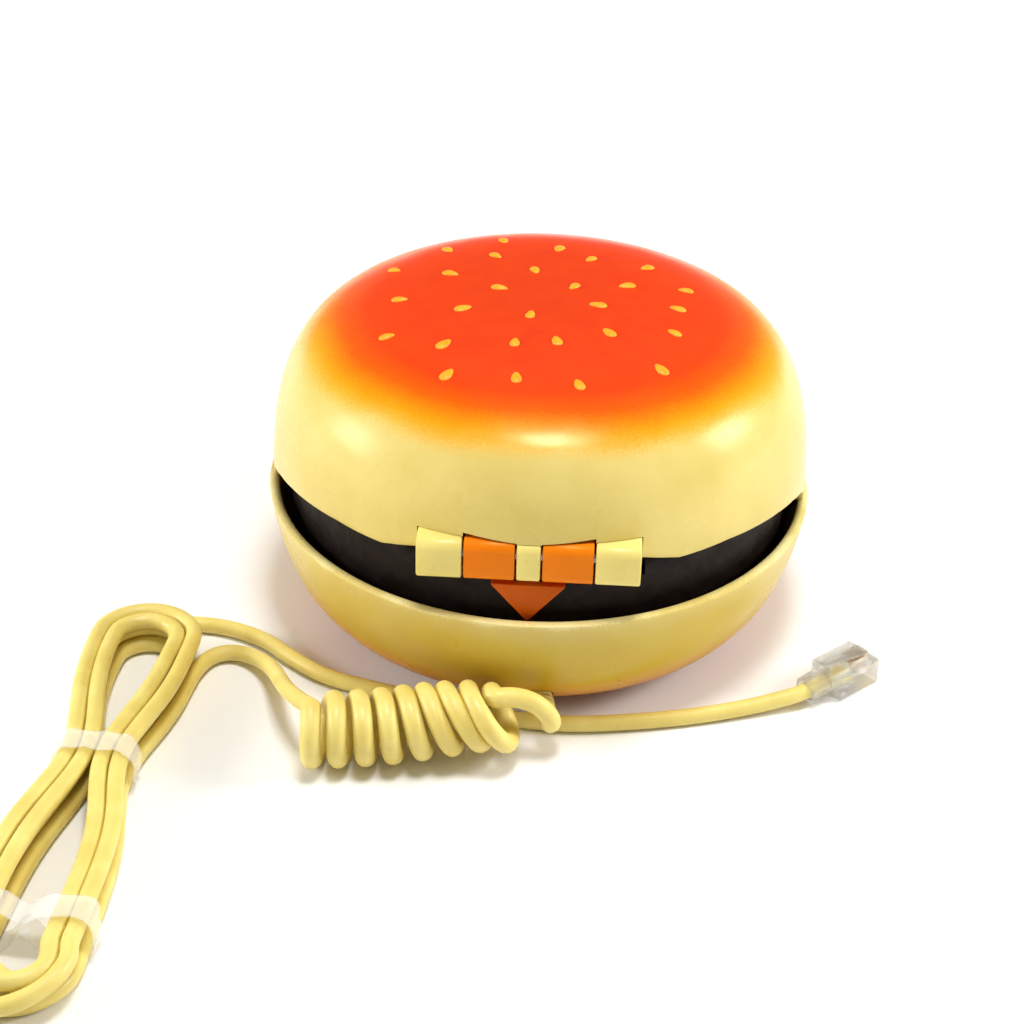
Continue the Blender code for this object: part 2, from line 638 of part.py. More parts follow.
def main():
    clear_scene()
    finish = finishes()
    lid = bpy.data.objects.new("lid_axis", None)
    lid.location = Vector(hinge_point()) * MM
    bpy.context.collection.objects.link(lid)
    bottom_bun(finish)
    top_bun(finish, lid)
    patty_housing(finish)
    keys(finish)
    keypad_inside(finish)
    hook_switch(finish)
    slide_switches(finish)
    microphone(finish)
    base_inside(finish)
    knuckles(finish, lid)
    cheese_corner(finish)
    lid_inside(finish, lid)
    strain_relief(finish)
    hank(finish)
    modular_plug(finish)
    line_cord(finish)


main()
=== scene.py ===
"""Looks of the novelty telephone: fine shells, keypad, hinge, line cord, materials, light and camera.

Shapes are in millimetres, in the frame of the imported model, and add_piece turns them into metres.
+Z is up, the table is at Z = 0, and the hinge is towards -Y.
"""

from math import atan2, copysign, cos, exp, pi, radians, sin, sqrt, tau

import bmesh
import bpy
from mathutils import Matrix, Vector, noise


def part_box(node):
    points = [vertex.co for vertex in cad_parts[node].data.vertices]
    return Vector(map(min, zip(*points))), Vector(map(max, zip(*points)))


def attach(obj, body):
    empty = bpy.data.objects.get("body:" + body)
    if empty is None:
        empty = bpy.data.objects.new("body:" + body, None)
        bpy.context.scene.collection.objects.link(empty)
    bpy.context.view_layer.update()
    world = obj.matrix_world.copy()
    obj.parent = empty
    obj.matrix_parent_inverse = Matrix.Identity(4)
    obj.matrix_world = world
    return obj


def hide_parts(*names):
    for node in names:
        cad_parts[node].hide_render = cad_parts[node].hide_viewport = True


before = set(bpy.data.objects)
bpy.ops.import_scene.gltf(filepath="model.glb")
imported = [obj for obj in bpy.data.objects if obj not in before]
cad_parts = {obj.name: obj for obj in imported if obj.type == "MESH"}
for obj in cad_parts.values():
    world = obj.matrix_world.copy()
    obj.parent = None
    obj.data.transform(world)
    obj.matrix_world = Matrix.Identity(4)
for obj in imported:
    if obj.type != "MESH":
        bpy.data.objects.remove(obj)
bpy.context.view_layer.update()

MM = 0.001
GAP = 0.3
UP = Vector((0.0, 0.0, 1.0))
SCENE = bpy.context.scene

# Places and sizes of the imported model
PROFILE_STEP = 0.6
LIP_Z = 33.0
WALL = 2.3
BASE_PROFILE = [(34.0, 1.0), (44.5, 2.4), (52.0, 6.0), (57.7, 13.0), (61.0, 21.5), (62.7, 28.7),
                (63.3, LIP_Z)]
LID_PROFILE = [(62.2, GAP), (62.0, 9.5), (61.0, 19.0), (57.8, 29.4), (52.4, 36.6), (43.5, 41.2),
               (30.0, 43.9), (15.0, 44.9), (0.0, 45.2)]
LID_R = 62.0
LID_ARCH = [(-6.0, -2.0), (-9.0, 3.0), (-13.0, 5.6), (-17.0, 7.0), (-22.0, 8.7), (-30.0, 10.3),
            (-38.0, 11.4), (-45.0, 12.2), (-53.0, 12.2), (-66.0, 20.0)]
HINGE_Y = -57.2
HINGE_Z = LIP_Z + 14.3
KNUCKLE_HALF = 4.75
KNUCKLE_ROUND = 2.2
BLOCK_SWING = 6.05
ROW_HALF = 24.3
PIN_BORE_R = 1.8
PATTY_R = 58.0
PATTY_TOP = 45.0
PATTY_PANEL = 2.2
PATTY_UNDER = PATTY_TOP - PATTY_PANEL
PATTY_BOTTOM = 23.0
PATTY_WALL = 2.0
KEY_CLEARANCE = 0.4
HOOK_Y = -38.0
HOOK_R = 2.0
SWITCH_X = 38.0
SWITCH_Y = 6.0
SWITCH_TRAVEL = 3.0
MICROPHONE_Y = 44.0
BASE_SCREWS = [(x, y) for x in (-28.0, 28.0) for y in (-28.0, 28.0)]
FEET = [(x, y) for x in (-19.0, 19.0) for y in (-19.0, 19.0)]
FOOT_R = 5.0
LID_SCREWS = [(0.0, 45.0), (-38.0, -18.0), (38.0, -18.0)]
PLATE_Z = LIP_Z + 16.0
PLATE_R = 58.0
PLATE_THICK = 2.2
PLATE_TOP = PLATE_Z + PLATE_THICK
RECEIVER_Y = 20.0

# Line cord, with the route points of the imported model
CORD_R = 1.85
EXIT_POINT = Vector((3.0, -54.1, 8.2))
EXIT_DIRECTION = Vector((0.35, -0.88, -0.30)).normalized()
RELIEF_LENGTH = 5.0
CORD_DEPTH = 5.0
CORD_START = EXIT_POINT - EXIT_DIRECTION * CORD_DEPTH
LEAD_ROUTE = [(6.0, -62.9, 5.9), (6.8, -65.2, 8.6), (6.0, -66.0, 12.2), (2.6, -66.2, 15.4),
              (-1.6, -65.8, 16.7)]
COIL_ROUTE = [(-3.0, -67.1, 11.4), (-11.0, -66.5, 10.9), (-19.0, -67.1, 9.8), (-28.0, -68.5, 8.8),
              (-37.0, -70.1, 8.65), (-46.0, -71.3, 8.65)]
COIL_TURNS = 8
COIL_RADIUS = 6.35
COIL_CORD_R = 2.2
COIL_LEAN_AXIS = Vector((0.0, -0.857, 0.515))
LINK_ROUTE = [(-48.9, -66.5, 12.6), (-52.2, -61.5, 11.4), (-54.4, -55.5, 9.0), (-55.3, -48.5, 6.0),
              (-57.8, -41.8, 3.2), (-62.9, -35.9, 2.0), (-70.0, -32.4, 2.0)]
TAIL_ROUTE = [(-76.5, -25.6, 1.9), (-68.5, -27.2, 1.9), (-61.0, -31.0, 1.9), (-54.5, -36.6, 1.9),
              (-46.0, -42.8, 1.9), (-34.8, -46.8, 1.9), (-22.0, -50.4, 1.9), (-10.0, -53.8, 1.9),
              (1.0, -55.6, 1.9), (11.0, -55.8, 1.9), (24.0, -54.0, 1.9), (39.0, -50.4, 1.9),
              (52.0, -46.2, 2.4), (62.0, -42.5, 3.6)]
PLUG_REAR = Vector((62.7, -42.0, 3.6))
PLUG_DIRECTION = Vector((0.74, 0.67, 0.0)).normalized()
PLUG_WIDTH = 9.65
PLUG_HEIGHT = 6.6
CONTACT_STEP = 1.05
HANK_TOP = Vector((-87.0, -41.5))
HANK_END = Vector((-92.0, -138.0))
HANK_WAIST_AT = 0.42
HANK_WAIST_LENGTH = 0.2
HANK_LAST_BULGE = 3.7
HANK_SPREAD = 5.4
# Each loop of the hank goes down on the right and up on the left, as (lane, layer)
HANK_RIGHT = [(5.7, 0), (1.9, 0), (3.8, 1), (1.9, 2), (5.7, 2)]
HANK_LEFT = [(1.9, 0), (3.8, 1), (1.9, 2), (5.7, 2), (5.7, 0)]
# The way from the link into the first loop, and from the last loop to the tail
HANK_IN = [(-69.6, -32.6, 2.0), (-74.6, -34.6, 2.0)]
HANK_OUT = [(-97.6, -39.6, 2.0), (-94.6, -31.6, 2.0), (-86.5, -26.7, 2.0)]
HANK_SWAY = 0.35
LAYER_STEP = 3.27
TIE_LENGTH = 6.2
TIE_MIDDLE_Z = 5.85
TIE_WRINKLE = 0.45
FILM = 0.16

# Seeds on the crown, as (distance from the middle, bearing in degrees)
SEEDS = [(37, 108), (38, 130), (40, 154), (26, 150), (27, 118), (16, 101), (30, 86), (26, 68),
         (32, 44), (12, 153), (10, 51), (21, 29), (34, 20), (33, 180), (19, -164), (8, -112),
         (12, -5), (30, 2), (38, -154), (30, -135), (21, -106), (19, -80), (20, -43), (31, -20),
         (38, -121), (34, -98), (36, -76), (37, -45)]
SEED_LENGTH = 3.9
SEED_WIDTH = 2.3
SEED_HEIGHT = 0.55

# Colours, camera and light
CREAM = (0.72, 0.58, 0.185)
CREAM_DEEP = (0.66, 0.52, 0.145)
CREAM_PALE = (0.84, 0.73, 0.33)

CAMERA_TARGET = Vector((0.0, 0.0, 33.0))
CAMERA_DISTANCE = 500.0
CAMERA_AZIMUTH = radians(1.5)
CAMERA_HEIGHT = radians(31.2)
CAMERA_ROLL = 0.0353
CAMERA_LENS = 74.32
CAMERA_SHIFT = (-0.0267, -0.0400)

FROM_LEFT = (-0.967, -0.097, 0.30)
FROM_RIGHT = (0.907, 0.078, 0.45)
# Each as name, direction, distance, size, watts, and whether glossy surfaces reflect it
SOFT_BOXES = [("left_fill", FROM_LEFT, 0.75, 0.50, 1.2, False),
              ("left_soft_box", FROM_LEFT, 0.75, 0.22, 2.9, True),
              ("right_fill", FROM_RIGHT, 0.75, 0.50, 1.0, False),
              ("right_soft_box", FROM_RIGHT, 0.75, 0.23, 3.2, True),
              ("top_soft_box", (0.055, -0.13, 0.98), 0.80, 0.21, 4.4, True)]
LIGHT_TARGET = Vector((0.0, -0.01, 0.04))
ROOM_COLOR = (1.0, 0.95, 0.86, 1.0)
ROOM_LIGHT = 0.28
FLOOR_HALF = 12.0


# ---------------------------------------------------------------- materials

class Finish:
    """A Principled material, with short ways to add the nodes that vary it over the surface."""

    def __init__(self, name, roughness, **sockets):
        self.material = bpy.data.materials.new(name)
        self.material.use_nodes = True
        self.tree = self.material.node_tree
        self.shader = self.tree.nodes["Principled BSDF"]
        self.shader.inputs["Roughness"].default_value = roughness
        for socket, value in sockets.items():
            self.shader.inputs[socket.replace("_", " ")].default_value = value
        self.place = self.add("ShaderNodeTexCoord").outputs["Object"]
        self.normal = None

    def add(self, kind, inputs=None, **settings):
        node = self.tree.nodes.new(kind)
        for key, value in settings.items():
            setattr(node, key, value)
        for key, value in (inputs or {}).items():
            if isinstance(value, bpy.types.NodeSocket):
                self.tree.links.new(value, node.inputs[key])
            else:
                node.inputs[key].default_value = value
        return node

    def noise(self, size, detail=3.0, distortion=0.0, place=None):
        """Cloudy values whose patches are about size millimetres across."""
        inputs = {"Vector": place or self.place, "Scale": 1.0 / (size * MM), "Detail": detail,
                  "Distortion": distortion}
        return self.add("ShaderNodeTexNoise", inputs).outputs["Fac"]

    def math(self, operation, a, b=0.0):
        return self.add("ShaderNodeMath", {0: a, 1: b}, operation=operation).outputs[0]

    def remap(self, value, low, high, to_low=0.0, to_high=1.0):
        """The value, or a noise given as its (size, detail), moved to another range and held in it."""
        if isinstance(value, tuple):
            value = self.noise(*value)
        inputs = {"Value": value, "From Min": low, "From Max": high, "To Min": to_low, "To Max": to_high}
        return self.add("ShaderNodeMapRange", inputs).outputs["Result"]

    def mix(self, share, a, b):
        """From a to b, each a colour or a socket."""
        a, b = [(*c, 1.0) if isinstance(c, tuple) else c for c in (a, b)]
        return self.add("ShaderNodeMix", {0: share, 6: a, 7: b}, data_type="RGBA").outputs[2]

    def ramp(self, value, stops):
        """Colours along a value, as (value, colour) stops."""
        node = self.add("ShaderNodeValToRGB", {"Fac": value})
        points = node.color_ramp.elements
        while len(points) < len(stops):
            points.new(0.5)
        for point, (place, color) in zip(points, stops):
            point.position = place
            point.color = (*color, 1.0)
        return node.outputs["Color"]

    def clouds(self, size, detail, a, b, low=0.35, high=0.65):
        """Two colours in cloudy patches about size millimetres across."""
        return self.mix(self.remap((size, detail), low, high), a, b)

    def scattered(self, value, *scatters):
        """The value with noises added to it, as (size, detail, amount)."""
        for size, detail, amount in scatters:
            centred = self.math("SUBTRACT", self.noise(size, detail), 0.5)
            value = self.math("ADD", value, self.math("MULTIPLY", centred, amount))
        return value

    def distance(self, place=None):
        """How far a place is from the origin, in metres."""
        node = self.add("ShaderNodeVectorMath", {0: place or self.place}, operation="LENGTH")
        return node.outputs["Value"]

    def edges(self, low=0.52, high=0.62, share=0.5):
        """How far the surface is a raised edge, up to share. It masks the highlights painted on edges."""
        pointed = self.add("ShaderNodeNewGeometry").outputs["Pointiness"]
        return self.remap(pointed, low, high, 0.0, share)

    def paint(self, color):
        self.tree.links.new(color, self.shader.inputs["Base Color"])

    def rough(self, value, low, high):
        """Spreads the roughness from low to high with the value."""
        self.tree.links.new(self.remap(value, 0.3, 0.7, low, high), self.shader.inputs["Roughness"])

    def bump(self, height, strength, depth):
        """Raises the surface by up to depth millimetres, by a value or a (size, detail) of noise."""
        if isinstance(height, tuple):
            height = self.noise(*height)
        inputs = {"Height": height, "Strength": strength, "Distance": depth * MM}
        if self.normal:
            inputs["Normal"] = self.normal
        self.normal = self.add("ShaderNodeBump", inputs).outputs["Normal"]
        self.tree.links.new(self.normal, self.shader.inputs["Normal"])


def moulded(name, color, deep, roughness, grain=0.7, patch=14.0, depth=0.02, edge_highlight=None, **sockets):
    """Moulded plastic or rubber: cloudy colour, an uneven gloss, a fine grain and a painted highlight on
    raised edges.
    """
    finish = Finish(name, roughness, **sockets)
    base = finish.clouds(patch, 4.0, color, deep)
    # Raised edges are painted lighter: a painted highlight where the bevels catch the light
    if edge_highlight:
        base = finish.mix(finish.edges(), base, edge_highlight)
    finish.paint(base)
    finish.rough((patch / 3, 3.0), roughness - 0.05, roughness + 0.07)
    finish.bump((grain, 2.0), 0.35, depth)
    return finish.material


def bun_grain(finish, roughness, dulled=0.0):
    """The gloss and the faint orange peel of the painted buns, duller by up to dulled."""
    gloss = finish.remap((9.0, 4.0), 0.3, 0.7, roughness - 0.04, roughness + 0.08)
    finish.tree.links.new(finish.math("ADD", gloss, dulled), finish.shader.inputs["Roughness"])
    finish.bump((1.1, 2.0), 0.25, 0.03)
    finish.bump((0.22, 1.0), 0.15, 0.006)


def lid_finish():
    """Cream plastic with an airbrushed crown, from red-orange through orange to the cream side."""
    finish = Finish("toasted_lid", 0.23, Specular_IOR_Level=0.32, Specular_Tint=(1.0, 0.95, 0.66, 1.0))
    across = {0: finish.place, 1: (0.955, 1.0, 0.0)}
    flat = finish.add("ShaderNodeVectorMath", across, operation="MULTIPLY").outputs[0]
    sprayed = finish.scattered(finish.distance(flat), (22.0, 2.0, 0.0035), (0.35, 1.0, 0.004))
    share = finish.math("DIVIDE", sprayed, LID_R * MM)
    cream = finish.clouds(16.0, 4.0, CREAM, CREAM_DEEP)
    stops = [(0.0, (0.64, 0.032, 0.0)), (0.45, (0.68, 0.034, 0.0)), (0.62, (0.80, 0.042, 0.0)),
             (0.71, (0.88, 0.100, 0.0)), (0.755, (0.90, 0.20, 0.0)), (0.80, (0.88, 0.32, 0.004)),
             (0.84, (0.80, 0.43, 0.05)), (0.885, CREAM)]
    crown = finish.ramp(share, stops)
    mottle = finish.remap((6.0, 4.0), 0.3, 0.7, 0.0, 0.22)
    mottled = finish.mix(mottle, crown, (0.80, 0.075, 0.0))
    painted = finish.mix(finish.remap(share, 0.60, 0.76, 1.0, 0.0), crown, mottled)
    finish.paint(finish.mix(finish.remap(share, 0.83, 0.89), painted, cream))
    bun_grain(finish, 0.23, finish.remap(share, 0.52, 0.70, 0.32, 0.0))
    return finish.material


def base_finish():
    """Cream plastic, toasted towards the bottom, with a paler lip."""
    finish = Finish("toasted_base", 0.3, Specular_IOR_Level=0.3, Specular_Tint=(1.0, 0.9, 0.55, 1.0))
    height = finish.add("ShaderNodeSeparateXYZ", {"Vector": finish.place}).outputs["Z"]
    sprayed = finish.scattered(height, (20.0, 3.0, 0.006), (0.5, 1.0, 0.0015))
    stops = [(0.0, (0.34, 0.08, 0.004)), (0.20, (0.56, 0.17, 0.005)), (0.34, (0.64, 0.31, 0.010)),
             (0.50, (0.55, 0.375, 0.025)), (0.80, (0.60, 0.45, 0.075)), (0.93, CREAM_DEEP),
             (0.975, CREAM), (1.0, CREAM_PALE)]
    base = finish.ramp(finish.math("DIVIDE", sprayed, LIP_Z * MM), stops)
    cloud = finish.remap((12.0, 4.0), 0.35, 0.65, 0.0, 0.25)
    finish.paint(finish.mix(cloud, base, (0.54, 0.31, 0.025)))
    bun_grain(finish, 0.3)
    return finish.material


def patty_finish():
    """Near-black brown, mottled and a little coarse, like seared meat, with a painted highlight on its
    raised edges.
    """
    finish = Finish("seared_patty", 0.6, Specular_IOR_Level=0.2)
    cloud = finish.remap((2.6, 5.0, 0.4), 0.35, 0.68)
    brown = finish.mix(cloud, (0.003, 0.001, 0.0004), (0.010, 0.0035, 0.002))
    # Raised edges are painted a lighter brown: a painted highlight
    finish.paint(finish.mix(finish.edges(0.5, 0.6, 0.2), brown, (0.03, 0.012, 0.006)))
    finish.rough((4.0, 3.0), 0.5, 0.7)
    finish.bump((3.4, 4.0), 0.35, 0.25)
    finish.bump((0.6, 2.0), 0.3, 0.05)
    return finish.material


def cord_finish():
    """Soft vinyl: creamy, slightly dirty in long patches, with faint marks of the extrusion."""
    finish = Finish("cord_vinyl", 0.42, Subsurface_Weight=0.06, Subsurface_Scale=0.002)
    finish.shader.inputs["Subsurface Radius"].default_value = (1.0, 0.7, 0.3)
    base = finish.clouds(9.0, 4.0, (0.84, 0.70, 0.21), (0.76, 0.60, 0.15))
    dust = finish.remap((1.4, 3.0), 0.6, 0.75, 0.0, 0.25)
    finish.paint(finish.mix(dust, base, (0.62, 0.46, 0.14)))
    finish.rough((5.0, 3.0), 0.34, 0.5)
    finish.bump((0.45, 2.0), 0.3, 0.02)
    return finish.material


def clear_finish(name, tint, roughness, crease, depth, cover, glass):
    """Clear plastic with soft creases. The cover is how much it hides of what is behind it."""
    finish = Finish(name, roughness, Transmission_Weight=glass, IOR=1.49, Alpha=cover)
    finish.paint(finish.clouds(7.0, 2.0, tint, (0.95, 0.96, 0.93), 0.3, 0.7))
    finish.rough((3.0, 2.0), roughness, roughness + 0.1)
    finish.bump((crease, 3.0, 0.8), 0.6, depth)
    return finish.material


def metal_finish(name, color, dull, roughness):
    """Metal with dull patches, brushed across."""
    finish = Finish(name, roughness, Metallic=1.0)
    stretched = finish.add("ShaderNodeMapping", {"Vector": finish.place, "Scale": (1.0, 1.0, 9.0)})
    brushed = finish.noise(0.8, 3.0, 0.0, stretched.outputs[0])
    finish.paint(finish.clouds(3.0, 4.0, color, dull, high=0.7))
    finish.rough(brushed, roughness - 0.06, roughness + 0.14)
    finish.bump(brushed, 0.2, 0.01)
    return finish.material


def board_finish():
    """Green solder mask over a grid of tracks, with coppery pads."""
    finish = Finish("circuit_board", 0.35)
    tracks = {"Vector": finish.place, "Scale": 160.0, "Mortar Size": 0.03,
              "Color1": (0.02, 0.20, 0.06, 1.0), "Color2": (0.015, 0.15, 0.05, 1.0),
              "Mortar": (0.05, 0.34, 0.10, 1.0)}
    grid = finish.add("ShaderNodeTexBrick", tracks).outputs
    pads = finish.add("ShaderNodeTexVoronoi", {"Vector": finish.place, "Scale": 280.0})
    dots = finish.remap(pads.outputs["Distance"], 0.12, 0.16, 1.0, 0.0)
    finish.paint(finish.mix(dots, grid["Color"], (0.62, 0.36, 0.12)))
    finish.rough((2.0, 2.0), 0.3, 0.45)
    finish.bump(grid["Fac"], 0.4, 0.04)
    return finish.material


def floor_finish():
    """A pale sweep that stays white far behind the telephone, where the soft boxes do not reach."""
    finish = Finish("studio_floor", 0.6, Emission_Color=(1.0, 1.0, 1.0, 1.0))
    glow = finish.remap(finish.distance(), 0.24, 0.6, 0.0, 0.7)
    finish.tree.links.new(glow, finish.shader.inputs["Emission Strength"])
    finish.paint(finish.mix(finish.noise(60.0, 3.0), (0.93, 0.93, 0.93), (0.945, 0.945, 0.945)))
    finish.bump((0.8, 2.0), 0.1, 0.02)
    return finish.material


FINISHES = {
    "lid": lid_finish(),
    "base": base_finish(),
    "patty": patty_finish(),
    "cream": moulded("cream_plastic", (0.86, 0.71, 0.20), (0.80, 0.65, 0.165), 0.3,
                     edge_highlight=(0.92, 0.80, 0.34), Specular_IOR_Level=0.3),
    "orange": moulded("orange_plastic", (0.86, 0.20, 0.002), (0.80, 0.165, 0.002), 0.3,
                      edge_highlight=(0.92, 0.32, 0.02), Specular_IOR_Level=0.25, Specular_Tint=(1.0, 0.7, 0.3, 1.0)),
    # The cheese corner is the orange plastic painted darker: painted shade for where it sits under the hinge
    # blocks
    "cheese": moulded("orange_plastic_in_painted_shade", (0.54, 0.080, 0.002), (0.47, 0.062, 0.002), 0.34,
                      edge_highlight=(0.70, 0.15, 0.01), Specular_IOR_Level=0.25, Specular_Tint=(1.0, 0.6, 0.3, 1.0)),
    "key": moulded("key_plastic", (0.83, 0.76, 0.56), (0.77, 0.69, 0.47), 0.38, edge_highlight=(0.92, 0.88, 0.74)),
    "legend": moulded("legend_ink", (0.035, 0.018, 0.012), (0.06, 0.03, 0.02), 0.5, 0.3, 2.0, 0.006),
    "plate": moulded("tomato_plastic", (0.50, 0.045, 0.018), (0.40, 0.030, 0.012), 0.36, 0.9, 10.0, 0.04,
                     edge_highlight=(0.66, 0.12, 0.06)),
    "rubber": moulded("grey_rubber", (0.045, 0.045, 0.045), (0.03, 0.03, 0.03), 0.75, 0.5, 5.0, 0.06),
    "switch": moulded("dark_plastic", (0.035, 0.033, 0.03), (0.022, 0.02, 0.02), 0.42, 0.5, 6.0, 0.03,
                      edge_highlight=(0.12, 0.11, 0.10)),
    "steel": metal_finish("bright_steel", (0.62, 0.62, 0.62), (0.45, 0.45, 0.44), 0.3),
    "gold": metal_finish("gold_contact", (0.95, 0.62, 0.20), (0.78, 0.48, 0.14), 0.22),
    "board": board_finish(),
    "cord": cord_finish(),
    "plug": clear_finish("clear_plug", (0.97, 0.97, 0.93), 0.04, 5.0, 0.03, 0.7, 0.92),
    "film": clear_finish("clear_film", (0.98, 0.98, 0.96), 0.08, 2.4, 0.2, 0.26, 0.0),
    "seed": moulded("sesame_seed", (0.86, 0.40, 0.020), (0.80, 0.32, 0.010), 0.36, 0.4, 1.6, 0.03,
                    edge_highlight=(0.92, 0.52, 0.06), Specular_IOR_Level=0.3),
    "floor": floor_finish(),
}


# ---------------------------------------------------------------- shape helpers

def strip(rings, caps=True, loop=False):
    """A body over rings of points. A ring of one point closes to a tip."""
    body = bmesh.new()
    rows = [[body.verts.new(point) for point in ring] for ring in rings]
    count = max(len(row) for row in rows)
    pairs = list(zip(rows, rows[1:]))
    if loop:
        pairs.append((rows[-1], rows[0]))
    for low, high in pairs:
        for i in range(count):
            j = (i + 1) % count
            corners = [low[i % len(low)], low[j % len(low)], high[j % len(high)], high[i % len(high)]]
            body.faces.new(list(dict.fromkeys(corners)))
    if caps and not loop:
        for row in (rows[0], rows[-1]):
            if len(row) > 2:
                body.faces.new(row)
    bmesh.ops.recalc_face_normals(body, faces=body.faces)
    return body


def angles(count):
    """Even steps of a full turn."""
    return [tau * i / count for i in range(count)]


def circle(radius, height, sides):
    """A ring of points about Z. Without a radius it is one point."""
    if radius < 1e-6:
        return [(0.0, 0.0, height)]
    return [(radius * cos(angle), radius * sin(angle), height) for angle in angles(sides)]


def turned(profile, sides=96, loop=False):
    """A body turned about Z from (radius, height) points."""
    return strip([circle(radius, height, sides) for radius, height in profile], loop=loop)


def filleted(points, radius, steps=4, closed=False):
    """The outline with its corners rounded off, by up to radius."""
    result = []
    count = len(points)
    for i, point in enumerate(points):
        corner = Vector(point)
        if not closed and i in (0, count - 1):
            result.append(tuple(corner))
            continue
        before = Vector(points[i - 1]) - corner
        after = Vector(points[(i + 1) % count]) - corner
        cut = min(radius, before.length * 0.49, after.length * 0.49)
        start = corner + before.normalized() * cut
        end = corner + after.normalized() * cut
        for step in range(steps + 1):
            t = step / steps
            result.append(tuple(start * (1 - t) ** 2 + corner * 2 * t * (1 - t) + end * t ** 2))
    return result


def rounded_outline(width, depth, radius, steps=5):
    """Corner-rounded rectangle about the origin, anticlockwise."""
    points = []
    for side_x, side_y, start in [(1, 1, 0.0), (-1, 1, 90.0), (-1, -1, 180.0), (1, -1, 270.0)]:
        middle_x = side_x * (width / 2 - radius)
        middle_y = side_y * (depth / 2 - radius)
        for step in range(steps + 1):
            angle = radians(start + 90.0 * step / steps)
            points.append((middle_x + radius * cos(angle), middle_y + radius * sin(angle)))
    return points


def layers(levels, steps=5):
    """A body through rounded rectangles, each a (width, depth, corner radius, height)."""
    return strip([[(x, y, height) for x, y in rounded_outline(width, depth, radius, steps)]
                  for width, depth, radius, height in levels])


def rounded_bar(width, depth, radius, low, high):
    """An upright bar with rounded corners."""
    return layers([(width, depth, radius, z) for z in (low, high)])


def box(low, high):
    outline = [(low[0], low[1]), (high[0], low[1]), (high[0], high[1]), (low[0], high[1])]
    return strip([[(x, y, z) for x, y in outline] for z in (low[2], high[2])])


def cylinder(radius, low, high, sides=32):
    return turned([(radius, low), (radius, high)], sides)


def moved(body, x=0.0, y=0.0, z=0.0):
    bmesh.ops.translate(body, verts=body.verts, vec=(x, y, z))
    return body


def transformed(body, matrix):
    bmesh.ops.transform(body, matrix=matrix, verts=body.verts)
    return body


def along(body, start, direction):
    """Turns a body built along +Z so that it runs from start along direction."""
    turn = UP.rotation_difference(direction).to_matrix().to_4x4()
    return transformed(body, Matrix.Translation(start) @ turn)


def hinge_rod(radius, start, end, sides):
    """A cylinder along the axis of the hinge."""
    rod = transformed(cylinder(radius, start, end, sides), Matrix.Rotation(pi / 2, 4, "Y"))
    return moved(rod, y=HINGE_Y, z=HINGE_Z)


def hinge_ring(x, side, radius):
    """A rounded square about the axis of the hinge."""
    return [(x, HINGE_Y + y, HINGE_Z + z) for y, z in rounded_outline(side, side, radius, 8)]


def joined(*bodies):
    """One body that holds them all. They may overlap."""
    result = bmesh.new()
    for body in bodies:
        piece = bpy.data.meshes.new("piece")
        body.to_mesh(piece)
        body.free()
        result.from_mesh(piece)
        bpy.data.meshes.remove(piece)
    return result


def smooth_curve(points, step):
    """Points every step along a smooth curve through the given points."""
    per_span = 16
    knots = [Vector(p) for p in points]
    knots = [knots[0] * 2 - knots[1]] + knots + [knots[-1] * 2 - knots[-2]]
    fine = []
    for before, start, end, after in zip(knots, knots[1:], knots[2:], knots[3:]):
        spans = [sqrt((b - a).length) for a, b in ((before, start), (start, end), (end, after))]
        leave = (end - start + (start - before) * (spans[1] / spans[0])
                 - (end - before) * (spans[1] / (spans[0] + spans[1])))
        arrive = (end - start + (after - end) * (spans[1] / spans[2])
                  - (after - start) * (spans[1] / (spans[1] + spans[2])))
        for i in range(per_span):
            t = i / per_span
            fine.append(start * (2 * t ** 3 - 3 * t ** 2 + 1) + leave * (t ** 3 - 2 * t ** 2 + t)
                        + end * (3 * t ** 2 - 2 * t ** 3) + arrive * (t ** 3 - t ** 2))
    fine.append(knots[-2])
    lengths = [0.0]
    for a, b in zip(fine, fine[1:]):
        lengths.append(lengths[-1] + (b - a).length)
    count = max(2, round(lengths[-1] / step))
    result = []
    k = 1
    for i in range(count + 1):
        target = lengths[-1] * i / count
        while k < len(fine) - 1 and lengths[k] < target:
            k += 1
        share = (target - lengths[k - 1]) / (lengths[k] - lengths[k - 1])
        result.append(fine[k - 1].lerp(fine[k], share))
    return result


def linked(name, data):
    item = bpy.data.objects.new(name, data)
    SCENE.collection.objects.link(item)
    return item


def raw_object(name, body):
    mesh = bpy.data.meshes.new(name)
    body.to_mesh(mesh)
    body.free()
    return linked(name, mesh)


def baked(item, *tools):
    """The item's final mesh as a body. The item and the tools it used are removed."""
    bpy.context.view_layer.update()
    mesh = bpy.data.meshes.new_from_object(item.evaluated_get(bpy.context.evaluated_depsgraph_get()))
    result = bmesh.new()
    result.from_mesh(mesh)
    bpy.data.meshes.remove(mesh)
    for extra in (item, *tools):
        data = extra.data
        bpy.data.objects.remove(extra, do_unlink=True)
        if isinstance(data, bpy.types.Mesh):
            bpy.data.meshes.remove(data)
        else:
            bpy.data.curves.remove(data)
    return result


def carved(body, added, *cuts):
    """The body with the added bodies joined on, and then each list of bodies in cuts taken away."""
    item = raw_object("carving", body)
    tools = []
    for bodies in (added, *cuts):
        if bodies:
            tools.append(raw_object("carving_tool", joined(*bodies)))
            modifier = item.modifiers.new("Carving", "BOOLEAN")
            modifier.operation = "UNION" if bodies is added else "DIFFERENCE"
            modifier.object = tools[-1]
    return baked(item, *tools)


def softened(body, width):
    """Bevels the body's sharp edges."""
    item = raw_object("softening", body)
    modifier = item.modifiers.new("Bevel", "BEVEL")
    modifier.width = width
    modifier.segments = 2
    modifier.limit_method = "ANGLE"
    modifier.angle_limit = radians(40.0)
    return baked(item)


